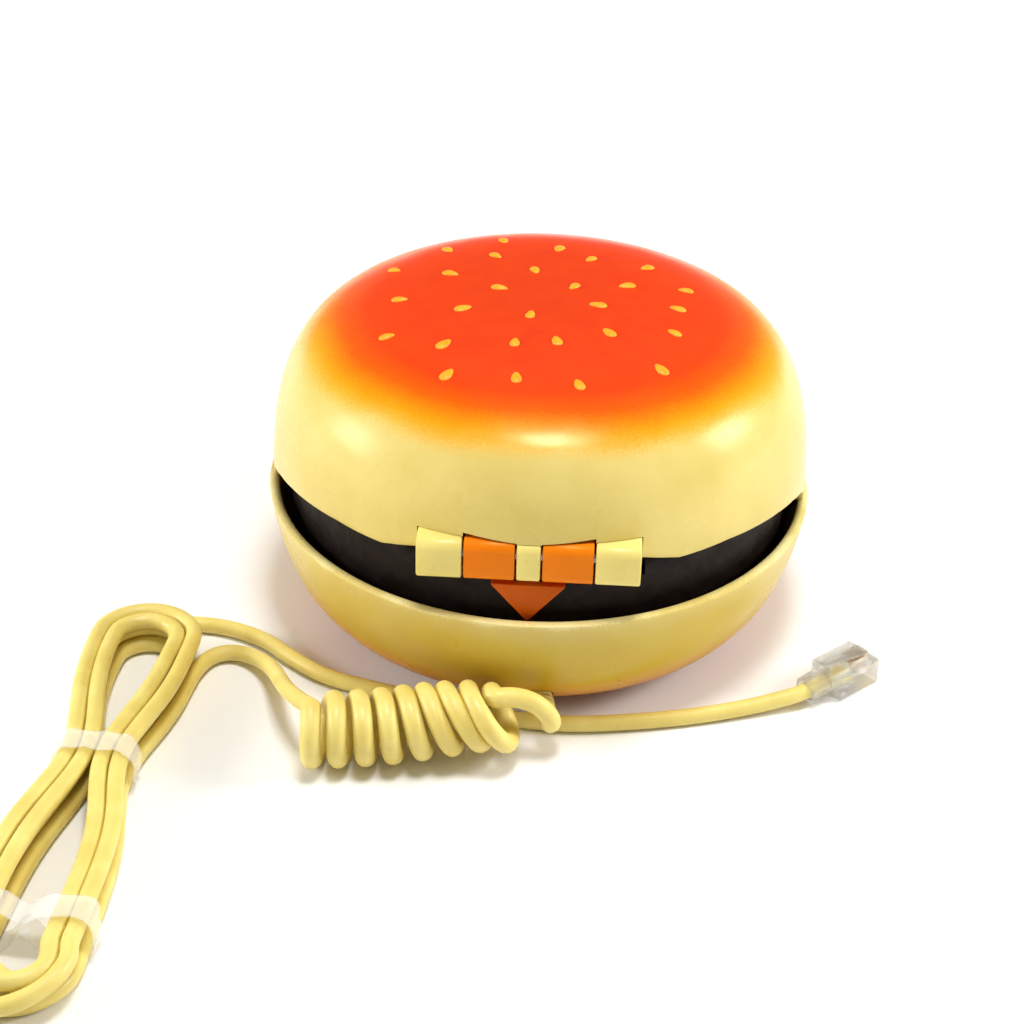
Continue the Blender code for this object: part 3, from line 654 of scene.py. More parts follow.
def add_piece(name, body, finish, rides="base", slot=None, replaces=(), sharp=35.0):
    """Adds a body given in millimetres as a piece that rides on a body of the frame."""
    bmesh.ops.scale(body, verts=body.verts, vec=(MM, MM, MM))
    item = raw_object(name, body)
    item.data.materials.clear()
    item.data.materials.append(FINISHES[finish])
    item.data.shade_smooth()
    item.data.set_sharp_from_angle(angle=radians(sharp))
    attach(item, rides)
    if replaces:
        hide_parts(*replaces)
    return item


# ---------------------------------------------------------------- camera, light and floor

def add_camera():
    """Turned about its target, then moved back along its own line of sight."""
    camera = bpy.data.cameras.new("camera")
    camera.lens = CAMERA_LENS
    camera.sensor_width = 36.0
    camera.shift_x, camera.shift_y = CAMERA_SHIFT
    camera.clip_start = 0.01
    item = linked("camera", camera)
    turn = Matrix.Rotation(CAMERA_AZIMUTH, 4, "Z") @ Matrix.Rotation(pi / 2 - CAMERA_HEIGHT, 4, "X")
    roll = Matrix.Rotation(CAMERA_ROLL, 4, "Z")
    item.matrix_world = (Matrix.Translation(CAMERA_TARGET * MM) @ turn @ roll
                         @ Matrix.Translation(UP * CAMERA_DISTANCE * MM))
    SCENE.camera = item


def add_studio():
    """Square soft boxes that face the telephone, a warm dim room, and a pale floor."""
    for name, direction, distance, size, watts, reflected in SOFT_BOXES:
        light = bpy.data.lights.new(name, "AREA")
        light.size = size
        light.energy = watts
        item = linked(name, light)
        direction = Vector(direction).normalized()
        item.location = LIGHT_TARGET + direction * distance
        item.visible_glossy = reflected
        item.rotation_euler = direction.to_track_quat("Z", "Y").to_euler()
    world = bpy.data.worlds.new("studio")
    SCENE.world = world
    world.use_nodes = True
    room = world.node_tree.nodes["Background"].inputs
    room["Color"].default_value = ROOM_COLOR
    room["Strength"].default_value = ROOM_LIGHT
    SCENE.view_settings.view_transform = "Standard"
    floor = raw_object("studio_floor", box((-FLOOR_HALF, -FLOOR_HALF, -0.02), (FLOOR_HALF, FLOOR_HALF, 0.0)))
    floor.data.materials.append(FINISHES["floor"])


# ---------------------------------------------------------------- line cord

def coil_points():
    """The curly stretch, from its right end at the top of a turn to its left end.

    The turns lean over at the right end, and stand up towards the left.
    """
    axis = smooth_curve(COIL_ROUTE, 0.5)
    points = []
    per_turn = 26
    lean_swing, lean_end, lean_middle, lean_spread = 50.0, 11.0, 3.0, 1.1
    for i in range(COIL_TURNS * per_turn + 1):
        turn = i / per_turn
        place = turn / COIL_TURNS * (len(axis) - 1)
        k = min(int(place), len(axis) - 2)
        middle = axis[k].lerp(axis[k + 1], place - k)
        ahead = (axis[k + 1] - axis[k]).normalized()
        angle = -tau * turn
        tilt = radians(lean_swing / (1.0 + exp((turn - lean_middle) / lean_spread)) - lean_end)
        lean = Matrix.Rotation(tilt, 3, COIL_LEAN_AXIS)
        upright = lean @ UP
        sideways = lean @ Vector((-ahead.y, ahead.x, 0.0))
        points.append(middle + (upright * cos(angle) + sideways * sin(angle)) * COIL_RADIUS)
    return points


def eased(value, low, high):
    """From 0 at low to 1 at high, with a soft start and end."""
    t = min(max((value - low) / (high - low), 0.0), 1.0)
    return t * t * (3 - 2 * t)


def hank_points():
    """Five loops between the two lobes, drawn together at the waist."""
    axis = HANK_END - HANK_TOP
    length = axis.length
    axis = axis.normalized()
    side = Vector((-axis.y, axis.x))
    points = []

    def height(layer):
        return CORD_R + 0.15 + LAYER_STEP * layer

    def run(lane, layer, sign, shares, phase):
        for share in shares:
            waist = exp(-((share - HANK_WAIST_AT) / HANK_WAIST_LENGTH) ** 2)
            offset = lane + HANK_SPREAD * (1.0 - waist)
            sway = HANK_SWAY * sin(tau * share + phase) * (1.0 - waist)
            place = HANK_TOP + axis * length * share + side * (offset + sway) * sign
            points.append(Vector((place.x, place.y, height(layer))))

    def fold(middle, start, end, way, radii, levels, bulge=0.0):
        """A half turn round middle, from side start to side end."""
        steps = 9
        for i in range(1, steps):
            t = i / steps
            angle = pi * t
            radius = start + (end - start) * eased(t, *radii) + bulge * sin(angle)
            level = levels[0] + (levels[1] - levels[0]) * eased(t, *levels[2])
            place = middle + (side * cos(angle) * way[0] + axis * sin(angle) * way[1]) * radius
            points.append(Vector((place.x, place.y, height(level))))

    # When each fold changes its width and its height, so that the loops pass beside each other
    widths = [(0.67, 1.0), (0.33, 0.67), (0.33, 0.67), (0.0, 0.33), (0.0, 1.0)]
    heights = [(0.0, 1.0), (0.33, 0.67), (0.33, 0.67), (0.0, 1.0), (0.1, 0.9)]
    count = 26
    first_share, last_share = 0.06, 0.09
    down = [first_share + (1 - first_share) * i / count for i in range(count + 1)]
    for loop, ((right, right_layer), (left, left_layer)) in enumerate(zip(HANK_RIGHT, HANK_LEFT)):
        last = loop == len(HANK_RIGHT) - 1
        start = 0 if loop else 1
        run(right, right_layer, 1, down[start:], loop * 1.3)
        fold(HANK_END, right + HANK_SPREAD, left + HANK_SPREAD, (1, 1), widths[loop],
             (right_layer, left_layer, heights[loop]), HANK_LAST_BULGE if last else 0.0)
        up = [share for share in reversed(down) if not last or share > last_share]
        run(left, left_layer, -1, up, loop * 0.9 + 0.6)
        if not last:
            next_lane, next_layer = HANK_RIGHT[loop + 1]
            fold(HANK_TOP, left + HANK_SPREAD, next_lane + HANK_SPREAD, (-1, -1), (0.0, 1.0),
                 (left_layer, next_layer, (0.0, 1.0)))
    return points


def relaxed(points, passes):
    """The points evened out, with both ends kept."""
    points = list(points)
    for _ in range(passes):
        inner = [(a + b * 2 + c) / 4 for a, b, c in zip(points, points[1:], points[2:])]
        points = [points[0]] + inner + [points[-1]]
    return points


def cord_route():
    """The cord's points from inside the bottom bun to inside the plug, each with its radius there."""
    start = [CORD_START, EXIT_POINT + EXIT_DIRECTION * (RELIEF_LENGTH + 3 * GAP)]
    coil = coil_points()
    hank = hank_points()
    lead = relaxed(smooth_curve(start + LEAD_ROUTE + coil[:1], 2.0), passes=6)[1:-1]
    link = relaxed(smooth_curve(coil[-1:] + LINK_ROUTE[:-1] + HANK_IN + hank[:1], 2.0), passes=40)[1:-1]
    end = [PLUG_REAR + PLUG_DIRECTION * 1.5, PLUG_REAR + PLUG_DIRECTION * 6.0]
    stretches = [(start[:1], CORD_R), (lead, COIL_CORD_R), (coil, COIL_CORD_R),
                 (link + hank + HANK_OUT + TAIL_ROUTE + end, CORD_R)]
    return [Vector((*point, radius)) for points, radius in stretches for point in points]


def line_cord():
    """One curve along the whole route."""
    points = smooth_curve(cord_route(), 1.5)
    curve = bpy.data.curves.new("line_cord", "CURVE")
    curve.dimensions = "3D"
    curve.bevel_depth = CORD_R * MM
    curve.bevel_resolution = 5
    curve.use_fill_caps = True
    spline = curve.splines.new("POLY")
    spline.points.add(len(points) - 1)
    for target, point in zip(spline.points, points):
        target.co = (*(point.xyz * MM), 1.0)
        target.radius = point.w / CORD_R
    spline.use_smooth = True
    curve.materials.append(FINISHES["cord"])
    cord = linked("line_cord", curve)
    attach(cord, "base")
    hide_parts("cord_lead", "cord_coil", "cord_link", "cord_hank", "cord_tail")
    return cord


def strain_relief():
    """A tapered boot with grooves, clipped into the bottom bun."""
    profile = [(0.0, -8.2), (4.0, -8.2), (4.0, -7.2), (2.9, -7.2), (2.9, 0.5)]
    for i in range(3):
        low = 0.9 + 1.2 * i
        radius = 2.85 - 0.12 * i
        profile += [(radius, low), (radius, low + 0.55), (radius - 0.45, low + 0.65),
                    (radius - 0.45, low + 1.05)]
    profile += [(2.45, 4.5), (2.35, RELIEF_LENGTH), (0.0, RELIEF_LENGTH)]
    body = along(turned(filleted(profile, 0.18, 2), 40), EXIT_POINT, EXIT_DIRECTION)
    return add_piece("strain_relief", body, "cord", slot="cord", replaces=["cord_strain_relief"])


def modular_plug():
    """A clear plug with its gold contacts, latch and the crimped end of the cord."""
    side = Vector((-PLUG_DIRECTION.y, PLUG_DIRECTION.x, 0.0))
    place = Matrix((side, UP, PLUG_DIRECTION)).transposed().to_4x4()
    place = Matrix.Translation(PLUG_REAR) @ place
    outer = layers([(5.0, 3.9, 0.5, 0.0), (5.6, 4.4, 0.6, 0.4), (5.9, 4.7, 0.6, 5.2),
                    (6.6, 5.1, 0.6, 5.9), (9.3, 6.3, 0.5, 7.0), (PLUG_WIDTH, PLUG_HEIGHT, 0.5, 7.4),
                    (PLUG_WIDTH, PLUG_HEIGHT, 0.5, 18.9), (PLUG_WIDTH - 0.5, PLUG_HEIGHT - 0.6, 0.6, 19.6),
                    (PLUG_WIDTH - 1.4, PLUG_HEIGHT - 1.6, 0.6, 20.0)], 3)
    across = [(i - 1.5) * CONTACT_STEP for i in range(4)]
    slots = [box((x - 0.28, 0.6, 13.4), (x + 0.28, 4.0, 19.0)) for x in across]
    slots.append(box((-1.9, -4.0, 8.0), (1.9, -2.2, 11.2)))
    cavity = layers([(4.5, 4.0, 1.6, -1.0), (4.5, 3.9, 1.4, 12.6)], 3)
    latch = strip([[(x, y, z) for x, y in ((-1.6, low), (1.6, low), (1.6, high), (-1.6, high))]
                   for low, high, z in ((3.3, 3.9, 19.0), (3.4, 4.2, 18.0), (4.3, 5.0, 13.0),
                                        (5.4, 5.9, 5.5), (5.5, 5.95, 4.4))])
    blades = [box((x - 0.2, 0.7, 13.6), (x + 0.2, 2.9, 18.8)) for x in across]
    crimp = layers([(4.2, 3.0, 1.2, 7.0), (4.3, 2.0, 0.8, 8.0), (4.3, 1.7, 0.7, 12.4)], 3)
    parts = [("plug_body", carved(outer, [], slots, [cavity]), "plug", "clear", ["modular_plug"]),
             ("plug_latch", softened(latch, 0.12), "plug", "clear", []),
             ("plug_contacts", softened(joined(*blades), 0.06), "gold", "steel", []),
             ("plug_cord_end", crimp, "cord", "cord", [])]
    return [add_piece(name, transformed(body, place), finish, "base", slot, nodes)
            for name, body, finish, slot, nodes in parts]


def with_long_sides_split(outline):
    """The closed outline, with points added along its straight sides."""
    long_side, pieces = 3.0, 16
    result = []
    for start, end in zip(outline, outline[1:] + outline[:1]):
        start = Vector(start)
        count = pieces if (Vector(end) - start).length > long_side else 1
        result += [tuple(start.lerp(Vector(end), i / count)) for i in range(count)]
    return result


def hank_tie(name, node, share, half):
    """A wrinkled band of clear film round the hank, drawn together where the hank is open."""
    slack, band_height, corner, lowest = 0.75, 11.2, 3.4, 0.12
    widest_unpinched, pinch_half, pinch_down, pinch_up = 10, 2.9, 3.4, 5.6
    smooth_below = -4
    steps = 8
    axis = (HANK_END - HANK_TOP).normalized()
    middle = HANK_TOP.lerp(HANK_END, share)
    turn = Matrix.Rotation(atan2(axis.x, -axis.y), 4, "Z")
    place = Matrix.Translation((middle.x, middle.y, 0.0)) @ turn
    rings = []
    for thickness, across in ((0.0, range(steps + 1)), (FILM, range(steps, -1, -1))):
        outline = rounded_outline(2 * (half + slack + thickness), band_height + 2 * thickness, corner, 7)
        for k in across:
            y = (k / steps - 0.5) * TIE_LENGTH
            ring = []
            for x, z in with_long_sides_split(outline):
                wave = noise.noise(Vector((x * 0.35, y * 0.55, z * 0.35 + half)))
                pinch = exp(-(x / pinch_half) ** 2) if half > widest_unpinched else 0.0
                dip = -pinch_down * pinch if z > 0 else pinch_up * pinch
                push = Vector((x, z)).normalized() * wave * TIE_WRINKLE
                height = z + TIE_MIDDLE_Z + (push.y if z > smooth_below else 0.0) + dip
                height = max(height, lowest if thickness else lowest + FILM)
                ring.append((x + push.x, y + 0.5 * wave, height))
            rings.append(ring)
    body = transformed(strip(rings, loop=True), place)
    return add_piece(name, body, "film", slot="clear", replaces=[node], sharp=180.0)


def make_cord():
    """The line cord with all that it carries."""
    cord = line_cord()
    relief = strain_relief()
    pieces = modular_plug()
    pieces.append(hank_tie("hank_tie_middle", "cord_tie_middle", HANK_WAIST_AT, 7.9))
    pieces.append(hank_tie("hank_tie_end", "cord_tie_end", 0.93, 13.2))


# ---------------------------------------------------------------- buns

def profile_curve(points, lift=0.0):
    """A smooth profile through (radius, height) points."""
    return [(p.x, p.z) for p in smooth_curve([(r, 0.0, z + lift) for r, z in points], PROFILE_STEP)]


def inward(profile, depth):
    """The profile moved inward, square to itself, by depth."""
    result = []
    last = len(profile) - 1
    for i in range(last + 1):
        before = Vector(profile[max(i - 1, 0)])
        after = Vector(profile[min(i + 1, last)])
        tangent = (after - before).normalized()
        result.append((max(profile[i][0] - tangent.y * depth, 0.0), profile[i][1] + tangent.x * depth))
    return result


def arch_height(y):
    """How high the lid's lower edge is at this y."""
    if y >= LID_ARCH[0][0]:
        return LIP_Z + LID_ARCH[0][1]
    for (y0, z0), (y1, z1) in zip(LID_ARCH, LID_ARCH[1:]):
        if y >= y1:
            return LIP_Z + z0 + (z1 - z0) * (y - y0) / (y1 - y0)
    return LIP_Z + LID_ARCH[-1][1]


def cut_at(profile, angle, raise_by):
    """The place on the profile, counted in points from its start, where the lid's lower edge is."""
    for i, (radius, height) in enumerate(profile):
        gap = height - arch_height(radius * sin(angle)) - raise_by
        if gap >= 0.0:
            if i == 0:
                return raise_by / PROFILE_STEP
            r0, z0 = profile[i - 1]
            before = z0 - arch_height(r0 * sin(angle)) - raise_by
            return i - 1 + before / (before - gap)
    return 0.0


def point_at(profile, place):
    """The point at a place that is counted in points from the profile's start."""
    place = min(max(place, 0.0), len(profile) - 1.0)
    k = min(int(place), len(profile) - 2)
    return Vector(profile[k]).lerp(Vector(profile[k + 1]), place - k)


def climb(profile, start, count):
    """Points up the profile from start, closer together at first. The top is left out."""
    steps = [(i / count) ** 1.15 for i in range(count)]
    return [point_at(profile, start + (len(profile) - 1 - start) * t) for t in steps]


def lid_shell():
    """The top bun, with its arched lower edge rounded over, and the swing of the hinge cut out."""
    sides = 480
    lip = 0.8
    outer_rows, lip_rows, inner_rows = 56, 9, 24
    swing_x, swing_half = 8.3, 5.6
    boss_r, screw_r, boss_top = 4.0, 1.6, 71.0
    outer = profile_curve(LID_PROFILE, LIP_Z)
    inner = inward(outer, WALL)
    inner[-1] = (0.0, outer[-1][1] - WALL)
    rows = [[] for _ in range(outer_rows + lip_rows + inner_rows)]
    for angle in angles(sides):
        around = Vector((cos(angle), sin(angle)))
        start = cut_at(outer, angle, lip)
        start_in = cut_at(inner, angle, lip)
        first = point_at(outer, start)
        last = point_at(inner, start_in)
        middle = (first + last) / 2
        half = (first - last) / 2
        column = climb(outer, start, outer_rows)[::-1]
        for k in range(1, lip_rows + 1):
            turn = pi * k / (lip_rows + 1)
            sideways = copysign(abs(cos(turn)) ** 0.6, cos(turn))
            column.append(middle + half * sideways + Vector((0.0, -lip * sin(turn) ** 0.6)))
        column += climb(inner, start_in, inner_rows)
        for row, point in zip(rows, column):
            row.append((around.x * point.x, around.y * point.x, point.y))
    rings = [[(0.0, 0.0, outer[-1][1])]] + rows + [[(0.0, 0.0, inner[-1][1])]]
    body = strip(rings, caps=False)
    swings = [hinge_rod(BLOCK_SWING, x - swing_half, x + swing_half, 64) for x in (-swing_x, swing_x)]
    row = strip([hinge_ring(x, 2 * (KNUCKLE_HALF + 0.12), KNUCKLE_ROUND)
                 for x in (-ROW_HALF + 0.6, ROW_HALF - 0.6)])
    boss = [(boss_r, PLATE_TOP + GAP), (boss_r, boss_top), (screw_r, boss_top), (screw_r, PLATE_TOP + GAP)]
    bosses = [moved(turned(boss, 32, loop=True), x, y) for x, y in LID_SCREWS]
    body = carved(body, bosses, swings, [row])
    add_piece("lid_bun", body, "lid", "lid", "bun", ["top_bun_shell"], 50.0)


def surface_point(radius):
    """Height and slope of the crown at this distance from the middle."""
    outer = profile_curve(LID_PROFILE, LIP_Z)
    for (r0, z0), (r1, z1) in zip(outer, outer[1:]):
        if r1 <= radius <= r0:
            share = (r0 - radius) / (r0 - r1)
            return z0 + (z1 - z0) * share, atan2(z1 - z0, r0 - r1)
    return outer[-1][1], 0.0


def seeds():
    """Sesame seeds, pointed towards the middle of the crown."""
    bodies = []
    for index, (radius, bearing) in enumerate(SEEDS):
        height, slope = surface_point(radius)
        rings = []
        size = 1.0 + 0.09 * sin(index * 2.4)
        for grow, rise in [(1.0, -0.45), (1.0, 0.02), (0.93, 0.26), (0.76, 0.60), (0.48, 0.88),
                           (0.22, 0.98)]:
            ring = []
            for angle in angles(20):
                x = cos(angle) * SEED_LENGTH / 2 * grow * size
                taper = 1.0 - 0.32 * cos(angle)
                y = sin(angle) * SEED_WIDTH / 2 * grow * taper * size
                ring.append((-x, y, rise * SEED_HEIGHT))
            rings.append(ring)
        rings.append([(0.0, 0.0, SEED_HEIGHT)])
        twist = 0.22 * sin(index * 5.1)
        turn = Matrix.Rotation(radians(bearing), 4, "Z")
        place = turn @ Matrix.Translation((radius, 0.0, height)) @ Matrix.Rotation(slope, 4, "Y")
        bodies.append(transformed(strip(rings), place @ Matrix.Rotation(twist, 4, "Z")))
    add_piece("sesame_seeds", joined(*bodies), "seed", "lid", "bun", sharp=60.0)


def base_shell():
    """The bottom bun: a bowl with a rounded lip, screw wells, and a groove round its underside."""
    outer = profile_curve(BASE_PROFILE)
    inner = inward(outer, WALL)
    lip_out = outer[-1][0]
    lip_in = lip_out - WALL
    outer = [p for p in outer if p[1] < LIP_Z - 0.8]
    inner = [p for p in inner if p[1] < LIP_Z - 0.8 and p[0] < lip_in]
    lip = [(lip_out, LIP_Z - 0.7), (lip_out - 0.15, LIP_Z - 0.25), (lip_out - 0.6, LIP_Z),
           (lip_in + 0.6, LIP_Z), (lip_in + 0.15, LIP_Z - 0.25), (lip_in, LIP_Z - 0.7)]
    floor = BASE_PROFILE[0][1]
    groove = [(29.4, floor), (30.0, floor + 0.5), (31.2, floor + 0.5), (31.8, floor)]
    profile = [(0.0, floor)] + groove + outer + lip + inner[::-1] + [(0.0, floor + WALL)]
    well = [(3.6, 0.0), (3.2, 1.6), (3.2, 5.0), (1.7, 5.0), (1.7, 12.0)]
    posts = [moved(cylinder(5.0, 2.8, 10.0), x, y) for x, y in BASE_SCREWS]
    wells = [moved(turned(well, 32), x, y) for x, y in BASE_SCREWS]
    wells.append(along(cylinder(3.3, -9.0, 9.0), EXIT_POINT, EXIT_DIRECTION))
    body = carved(turned(profile, 240), posts, wells)
    add_piece("base_bun", body, "base", "base", "bun", ["bottom_bun_shell"], 40.0)


def feet():
    """Four rubber feet, each with a shallow hollow in its face."""
    profile = filleted([(0.0, 0.02), (FOOT_R - 1.6, 0.02), (FOOT_R - 1.3, 0.0), (FOOT_R - 0.4, 0.0),
                        (FOOT_R, 0.3), (FOOT_R, 0.7), (0.0, 0.7)], 0.15, 2)
    for i, (x, y) in enumerate(FEET, 1):
        foot = moved(turned(profile, 48), x, y)
        add_piece(f"foot_{i}", foot, "rubber", "base", "rubber", [f"rubber_foot_{i}"])


def screws(name, rides, places, low, length, head_r):
    """Pan-head screws that point up, with a cross recess in the head."""
    pitch, core_r, thread_r = 0.9, 1.05, 1.3
    recess = (0.28, 1.5)
    profile = [(0.0, 0.0), (head_r * 0.6, 0.08), (head_r - 0.25, 0.3), (head_r, 0.7), (head_r, 0.95),
               (thread_r, 0.95)]
    for i in range(int((length - 2.5) / pitch)):
        root = 1.4 + pitch * i
        profile += [(core_r, root), (thread_r, root + pitch / 2)]
    profile += [(core_r, length - 1.0), (0.0, length)]
    for i, (x, y) in enumerate(places, 1):
        cross = [[box((-a, -b, -1.0), (a, b, 0.62))] for a, b in (recess, recess[::-1])]
        body = moved(carved(turned(profile, 28), [], *cross), x, y, low)
        add_piece(f"{name}_{i}", body, "steel", rides, "steel", [f"{rides}_screw_{i}"])


# ---------------------------------------------------------------- patty and keypad

def key_sites():
    """Each key's node, its middle, its top and its size across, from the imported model."""
    flange = 1.8
    for node in sorted(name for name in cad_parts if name.startswith("key_")):
        low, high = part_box(node)
        middle = (low + high) / 2 / MM
        yield (node, middle.x, middle.y, high.z / MM, (high.x - low.x) / MM - flange,
               (high.y - low.y) / MM - flange)


def patty():
    """The dark housing: an uneven side, a rounded rim, and a flat top with its openings."""
    sides = 300
    rim_height, wall_rows, unevenness, smooth_height = 2.6, 16, 0.28, 3.0
    drops = [(3.4, 0.0), (2.6, 0.0), (1.9, 0.08), (1.1, 0.4), (0.5, 1.0), (0.12, 1.9)]
    rim = [(PATTY_R - inset, PATTY_TOP - drop) for inset, drop in drops]
    wall = [(PATTY_R, PATTY_TOP - rim_height - i * (PATTY_TOP - rim_height - PATTY_BOTTOM) / wall_rows)
            for i in range(wall_rows + 1)]
    rings = [[(0.0, 0.0, PATTY_TOP)]]
    for radius, height in rim + wall:
        ring = []
        for angle in angles(sides):
            around = Vector((cos(angle), sin(angle), 0.0))
            rough = noise.fractal(around * radius * 0.16 + Vector((0, 0, height * 0.2)), 0.8, 2.0, 3)
            share = min(max((PATTY_TOP - height) / smooth_height, 0.0), 1.0)
            ring.append(tuple(around * (radius + unevenness * rough * share) + Vector((0.0, 0.0, height))))
        rings.append(ring)
    rings += [circle(PATTY_R - PATTY_WALL, height, sides) for height in (PATTY_BOTTOM, PATTY_UNDER)]
    rings.append([(0.0, 0.0, PATTY_UNDER)])
    posts = [moved(cylinder(3.6, 10.0 + GAP, PATTY_UNDER + 1.0), x, y) for x, y in BASE_SCREWS]
    cuts = [moved(cylinder(1.6, 9.0, 24.0, 20), x, y) for x, y in BASE_SCREWS]
    through = (PATTY_UNDER - 1, PATTY_TOP + 1)
    for _, x, y, _, width, depth in key_sites():
        opening = rounded_bar(width + 2 * KEY_CLEARANCE, depth + 2 * KEY_CLEARANCE, 1.6, *through)
        cuts.append(moved(opening, x, y))
    cuts.append(moved(cylinder(HOOK_R + KEY_CLEARANCE, *through), 0.0, HOOK_Y))
    cuts += [moved(cylinder(0.9, *through, 20), x, MICROPHONE_Y) for x in (-4.0, 0.0, 4.0)]
    cuts += [moved(rounded_bar(3.8, 6.8 + SWITCH_TRAVEL, 0.4, *through), x, SWITCH_Y + SWITCH_TRAVEL / 2)
             for x in (-SWITCH_X, SWITCH_X)]
    cuts.append(box((-ROW_HALF - GAP, -60.0, HINGE_Z - 6.8), (ROW_HALF + GAP, -50.4, PATTY_TOP + 1)))
    body = carved(strip(rings, caps=False), posts, cuts)
    add_piece("patty", body, "patty", "base", "patty", ["patty_housing"], 40.0)


def key_body(width, depth, top):
    """A key with a flange under the patty's top, a soft edge and a dished face."""
    rim = PATTY_UNDER - GAP
    levels = [(1.6, 1.7, rim - 0.9), (1.8, 1.8, rim - 0.7), (1.8, 1.8, rim), (0.0, 1.5, rim),
              (0.0, 1.5, top - 1.0), (-0.15, 1.45, top - 0.55), (-0.5, 1.35, top - 0.2),
              (-1.0, 1.2, top - 0.02), (-1.5, 1.0, top), (-2.1, 0.8, top - 0.08), (-3.0, 0.5, top - 0.26),
              (-3.8, 0.3, top - 0.32)]
    return layers([(width + grow, depth + grow, radius, height) for grow, radius, height in levels])


def legend(text, size, x, y, height):
    """A printed character, read from the side away from the hinge."""
    curve = bpy.data.curves.new("legend", "FONT")
    curve.body = text
    curve.size = size * MM
    curve.extrude = 0.04 * MM
    curve.align_x = "CENTER"
    curve.align_y = "CENTER"
    body = baked(linked("legend", curve))
    bmesh.ops.scale(body, verts=body.verts, vec=(1 / MM, 1 / MM, 1 / MM))
    xs = [v.co.x for v in body.verts]
    ys = [v.co.y for v in body.verts]
    body = moved(body, -(min(xs) + max(xs)) / 2, -(min(ys) + max(ys)) / 2)
    return transformed(body, Matrix.Translation((x, y, height)) @ Matrix.Rotation(pi, 4, "Z"))


def keypad():
    """The keys, with a printed sign or bar on each."""
    signs = {"star": ("*", 6.4), "hash": ("#", 4.6)}
    bars = {"redial": 6.8, "flash": 2.2}
    for node, x, y, top, width, depth in key_sites():
        name = node[4:]
        add_piece("cap_" + name, moved(key_body(width, depth, top), x, y), "key", node, "key", [node])
        if name in bars:
            mark = moved(rounded_bar(bars[name], 1.1, 0.5, top - 0.36, top - 0.26), x, y)
        else:
            mark = legend(*signs.get(name, (name, 4.6)), x, y, top - 0.30)
        add_piece("legend_" + name, mark, "legend", node, "key", sharp=30.0)


def hook():
    """The plunger that the closed lid holds down, with a collar under the patty's top."""
    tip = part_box("hook_plunger")[1].z / MM
    collar_r = 3.6
    profile = filleted([(0.0, 37.8), (HOOK_R, 37.8), (HOOK_R, 38.4), (collar_r, 38.4), (collar_r, 39.8),
                        (HOOK_R, 39.8), (HOOK_R, tip - 0.9), (HOOK_R - 0.7, tip - 0.15), (0.0, tip)], 0.3, 3)
    body = moved(turned(profile, 40), y=HOOK_Y)
    add_piece("hook_button", body, "key", "hook_plunger", "key", ["hook_plunger"])


def slide_knobs():
    """Two switch knobs, with five ridges across each for the finger."""
    low = PATTY_TOP + 0.6
    high = PATTY_TOP + 1.2
    for node, x in (("ringer_switch_knob", -SWITCH_X), ("dial_mode_switch_knob", SWITCH_X)):
        body = layers([(5.4, 8.0, 0.5, PATTY_UNDER - 1.7), (5.4, 8.0, 0.5, PATTY_UNDER - GAP),
                       (3.0, 6.0, 0.5, PATTY_UNDER - GAP), (3.0, 6.0, 0.5, PATTY_TOP + 0.75)], 3)
        ridges = []
        for i in range(5):
            y = (i - 2) * 1.2
            ridge = [(y - 0.42, low), (y + 0.42, low), (y + 0.2, high), (y - 0.2, high)]
            ridges.append(strip([[(end, *point) for point in ridge] for end in (-1.45, 1.45)]))
        body = moved(carved(body, ridges), x, SWITCH_Y)
        add_piece(node.replace("_knob", "_slider"), body, "switch", node, "switch", [node])


# ---------------------------------------------------------------- hinge

def knuckle_block(left, right):
    """A block along X with soft corners and softened ends."""
    soft = 0.35
    ends = [(left, soft), (left + soft * 0.3, soft * 0.35), (left + soft, 0.0), (right - soft, 0.0),
            (right - soft * 0.3, soft * 0.35), (right, soft)]
    return strip([hinge_ring(x, 2 * (KNUCKLE_HALF - inset), KNUCKLE_ROUND - inset) for x, inset in ends])


def knuckles():
    """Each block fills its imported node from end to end, with the leg or lug that fixes it."""
    closed_end = 1.4
    for node in sorted(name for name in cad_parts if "_knuckle_" in name):
        left, right = [corner.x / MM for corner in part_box(node)]
        middle = (left + right) / 2
        fixed = node.startswith("base")
        if fixed:
            tab = box((middle - 3.0, -54.6, 36.0), (middle + 3.0, -52.6, HINGE_Z - 2.0))
        else:
            inset = 1.0 if node.endswith("middle") else 2.5
            tab = box((left + inset, -54.5, HINGE_Z + 1.0), (right - inset, -51.0, HINGE_Z + 3.4))
        start = left + closed_end if node.endswith("_left") and not fixed else left - 1.0
        end = right - closed_end if node.endswith("_right") and not fixed else right + 1.0
        body = carved(knuckle_block(left, right), [tab], [hinge_rod(PIN_BORE_R, start, end, 32)])
        looks = ("orange", "base", "cheese") if fixed else ("cream", "lid", "cream")
        add_piece(node.replace("knuckle", "hinge_block"), body, *looks, [node], 30.0)


def cheese():
    """The corner of a cheese slice, hanging over the patty's edge, in the orange plastic painted darker as
    painted shade.
    """
    low, high = [[value / MM for value in corner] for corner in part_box("cheese_corner")]
    _, front, tip = low
    half, back, top = high
    outline = filleted([(-half, top), (0.0, tip), (half, top)], 0.9, 5, closed=True)
    middle = Vector((0.0, (top + top + tip) / 3))
    rings = []
    for y, shrink in ((back, 0.0), (front + 0.6, 0.0), (front + 0.15, 0.12), (front, 0.4)):
        places = [Vector(point) + (middle - Vector(point)).normalized() * shrink for point in outline]
        rings.append([(place.x, y, place.y) for place in places])
    add_piece("cheese_tip", strip(rings), "cheese", "base", "cheese", ["cheese_corner"])


# ---------------------------------------------------------------- lid inside

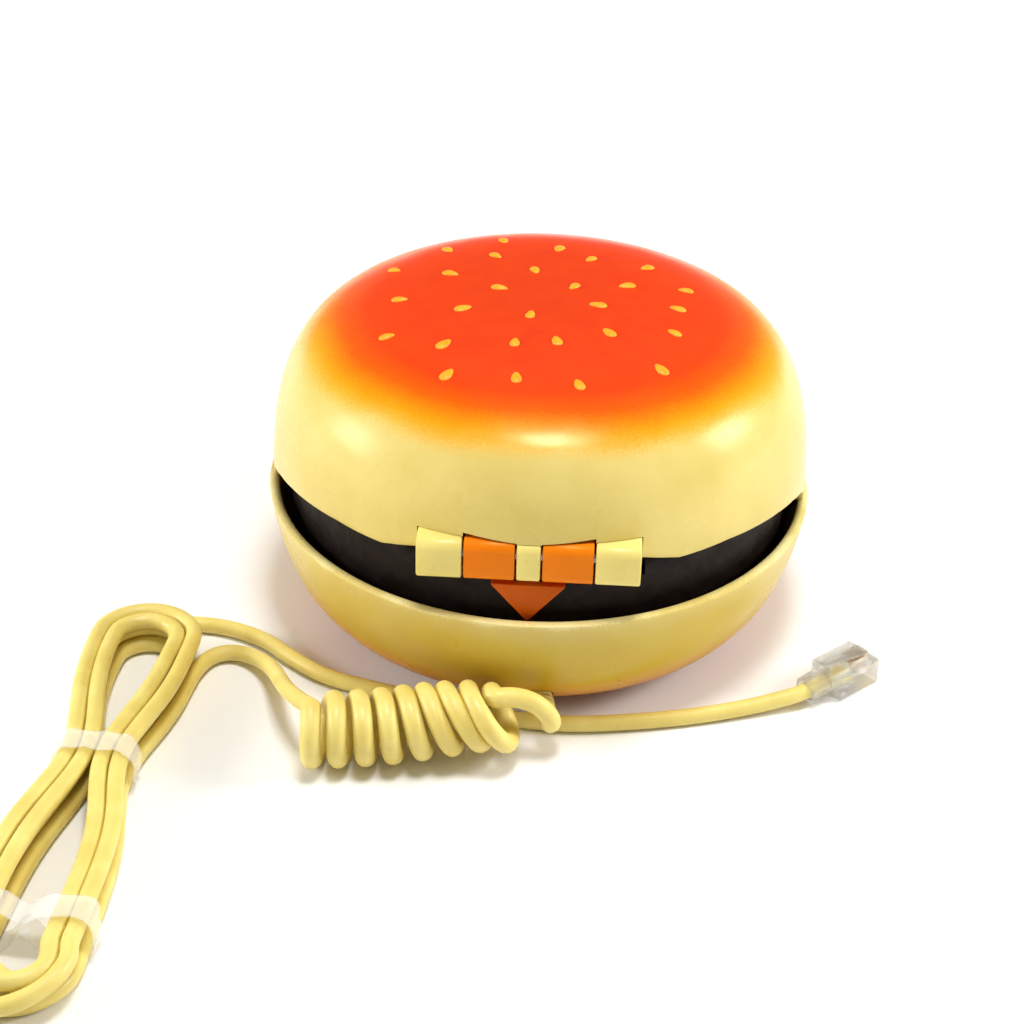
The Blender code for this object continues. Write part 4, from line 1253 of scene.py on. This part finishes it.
def earpiece_plate():
    """The plate over the receiver, with two grooves round seven sound holes, and three screw wells."""
    low = PLATE_Z
    high = PLATE_TOP
    face = turned([(0.0, low), (PLATE_R - 1.3, low), (PLATE_R - 0.5, low), (PLATE_R - 0.1, low + 0.15),
                   (PLATE_R, low + 0.5), (PLATE_R, high), (0.0, high)], 180)
    grooves = []
    for inside, outside in ((9.0, 10.4), (14.6, 16.0)):
        groove = [(inside, low - 1.0), (outside, low - 1.0), (outside - 0.25, low + 0.35),
                  (inside + 0.25, low + 0.35)]
        grooves.append(moved(turned(groove, loop=True), y=RECEIVER_Y))
    cuts = [box((-ROW_HALF - 0.3, -60.0, low - 1), (ROW_HALF + 0.3, -50.6, high + 1))]
    well = [(3.2, low - 1), (3.0, low + 1.2), (1.6, low + 1.2), (1.6, high + 1)]
    cuts += [moved(turned(well, 32), x, y) for x, y in LID_SCREWS]
    hole = [(1.6, low - 0.5), (1.1, low + 0.4), (1.1, high + 1)]
    for x, y, _ in [(0.0, 0.0, 0.0)] + circle(5.0, 0.0, 6):
        cuts.append(moved(turned(hole, 28), x, RECEIVER_Y + y))
    body = carved(face, [], grooves, cuts)
    add_piece("ear_plate", body, "plate", "lid", "plate", ["earpiece_plate"], 30.0)


def inner_nodes():
    """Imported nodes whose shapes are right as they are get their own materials."""
    names = {"hinge_pin": "steel", "keypad_membrane": "rubber", "circuit_board": "board",
             "hook_switch_body": "switch", "ringer_switch_body": "steel", "dial_mode_switch_body": "steel",
             "microphone_boot": "rubber", "microphone_capsule": "steel", "ballast_plate": "steel",
             "ringer_disc": "gold", "receiver_capsule": "steel", "receiver_retainer": "switch"}
    for node, finish in names.items():
        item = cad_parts[node]
        item.data.materials.clear()
        item.data.materials.append(FINISHES[finish])


# ---------------------------------------------------------------- the whole

add_camera()
make_cord()
lid_shell()
seeds()
base_shell()
feet()
screws("case_screw", "base", BASE_SCREWS, low=3.4, length=19.6, head_r=2.8)
screws("ear_screw", "lid", LID_SCREWS, low=PLATE_Z + 0.1, length=12.9, head_r=2.6)
patty()
keypad()
hook()
slide_knobs()
knuckles()
cheese()
earpiece_plate()
inner_nodes()
add_studio()
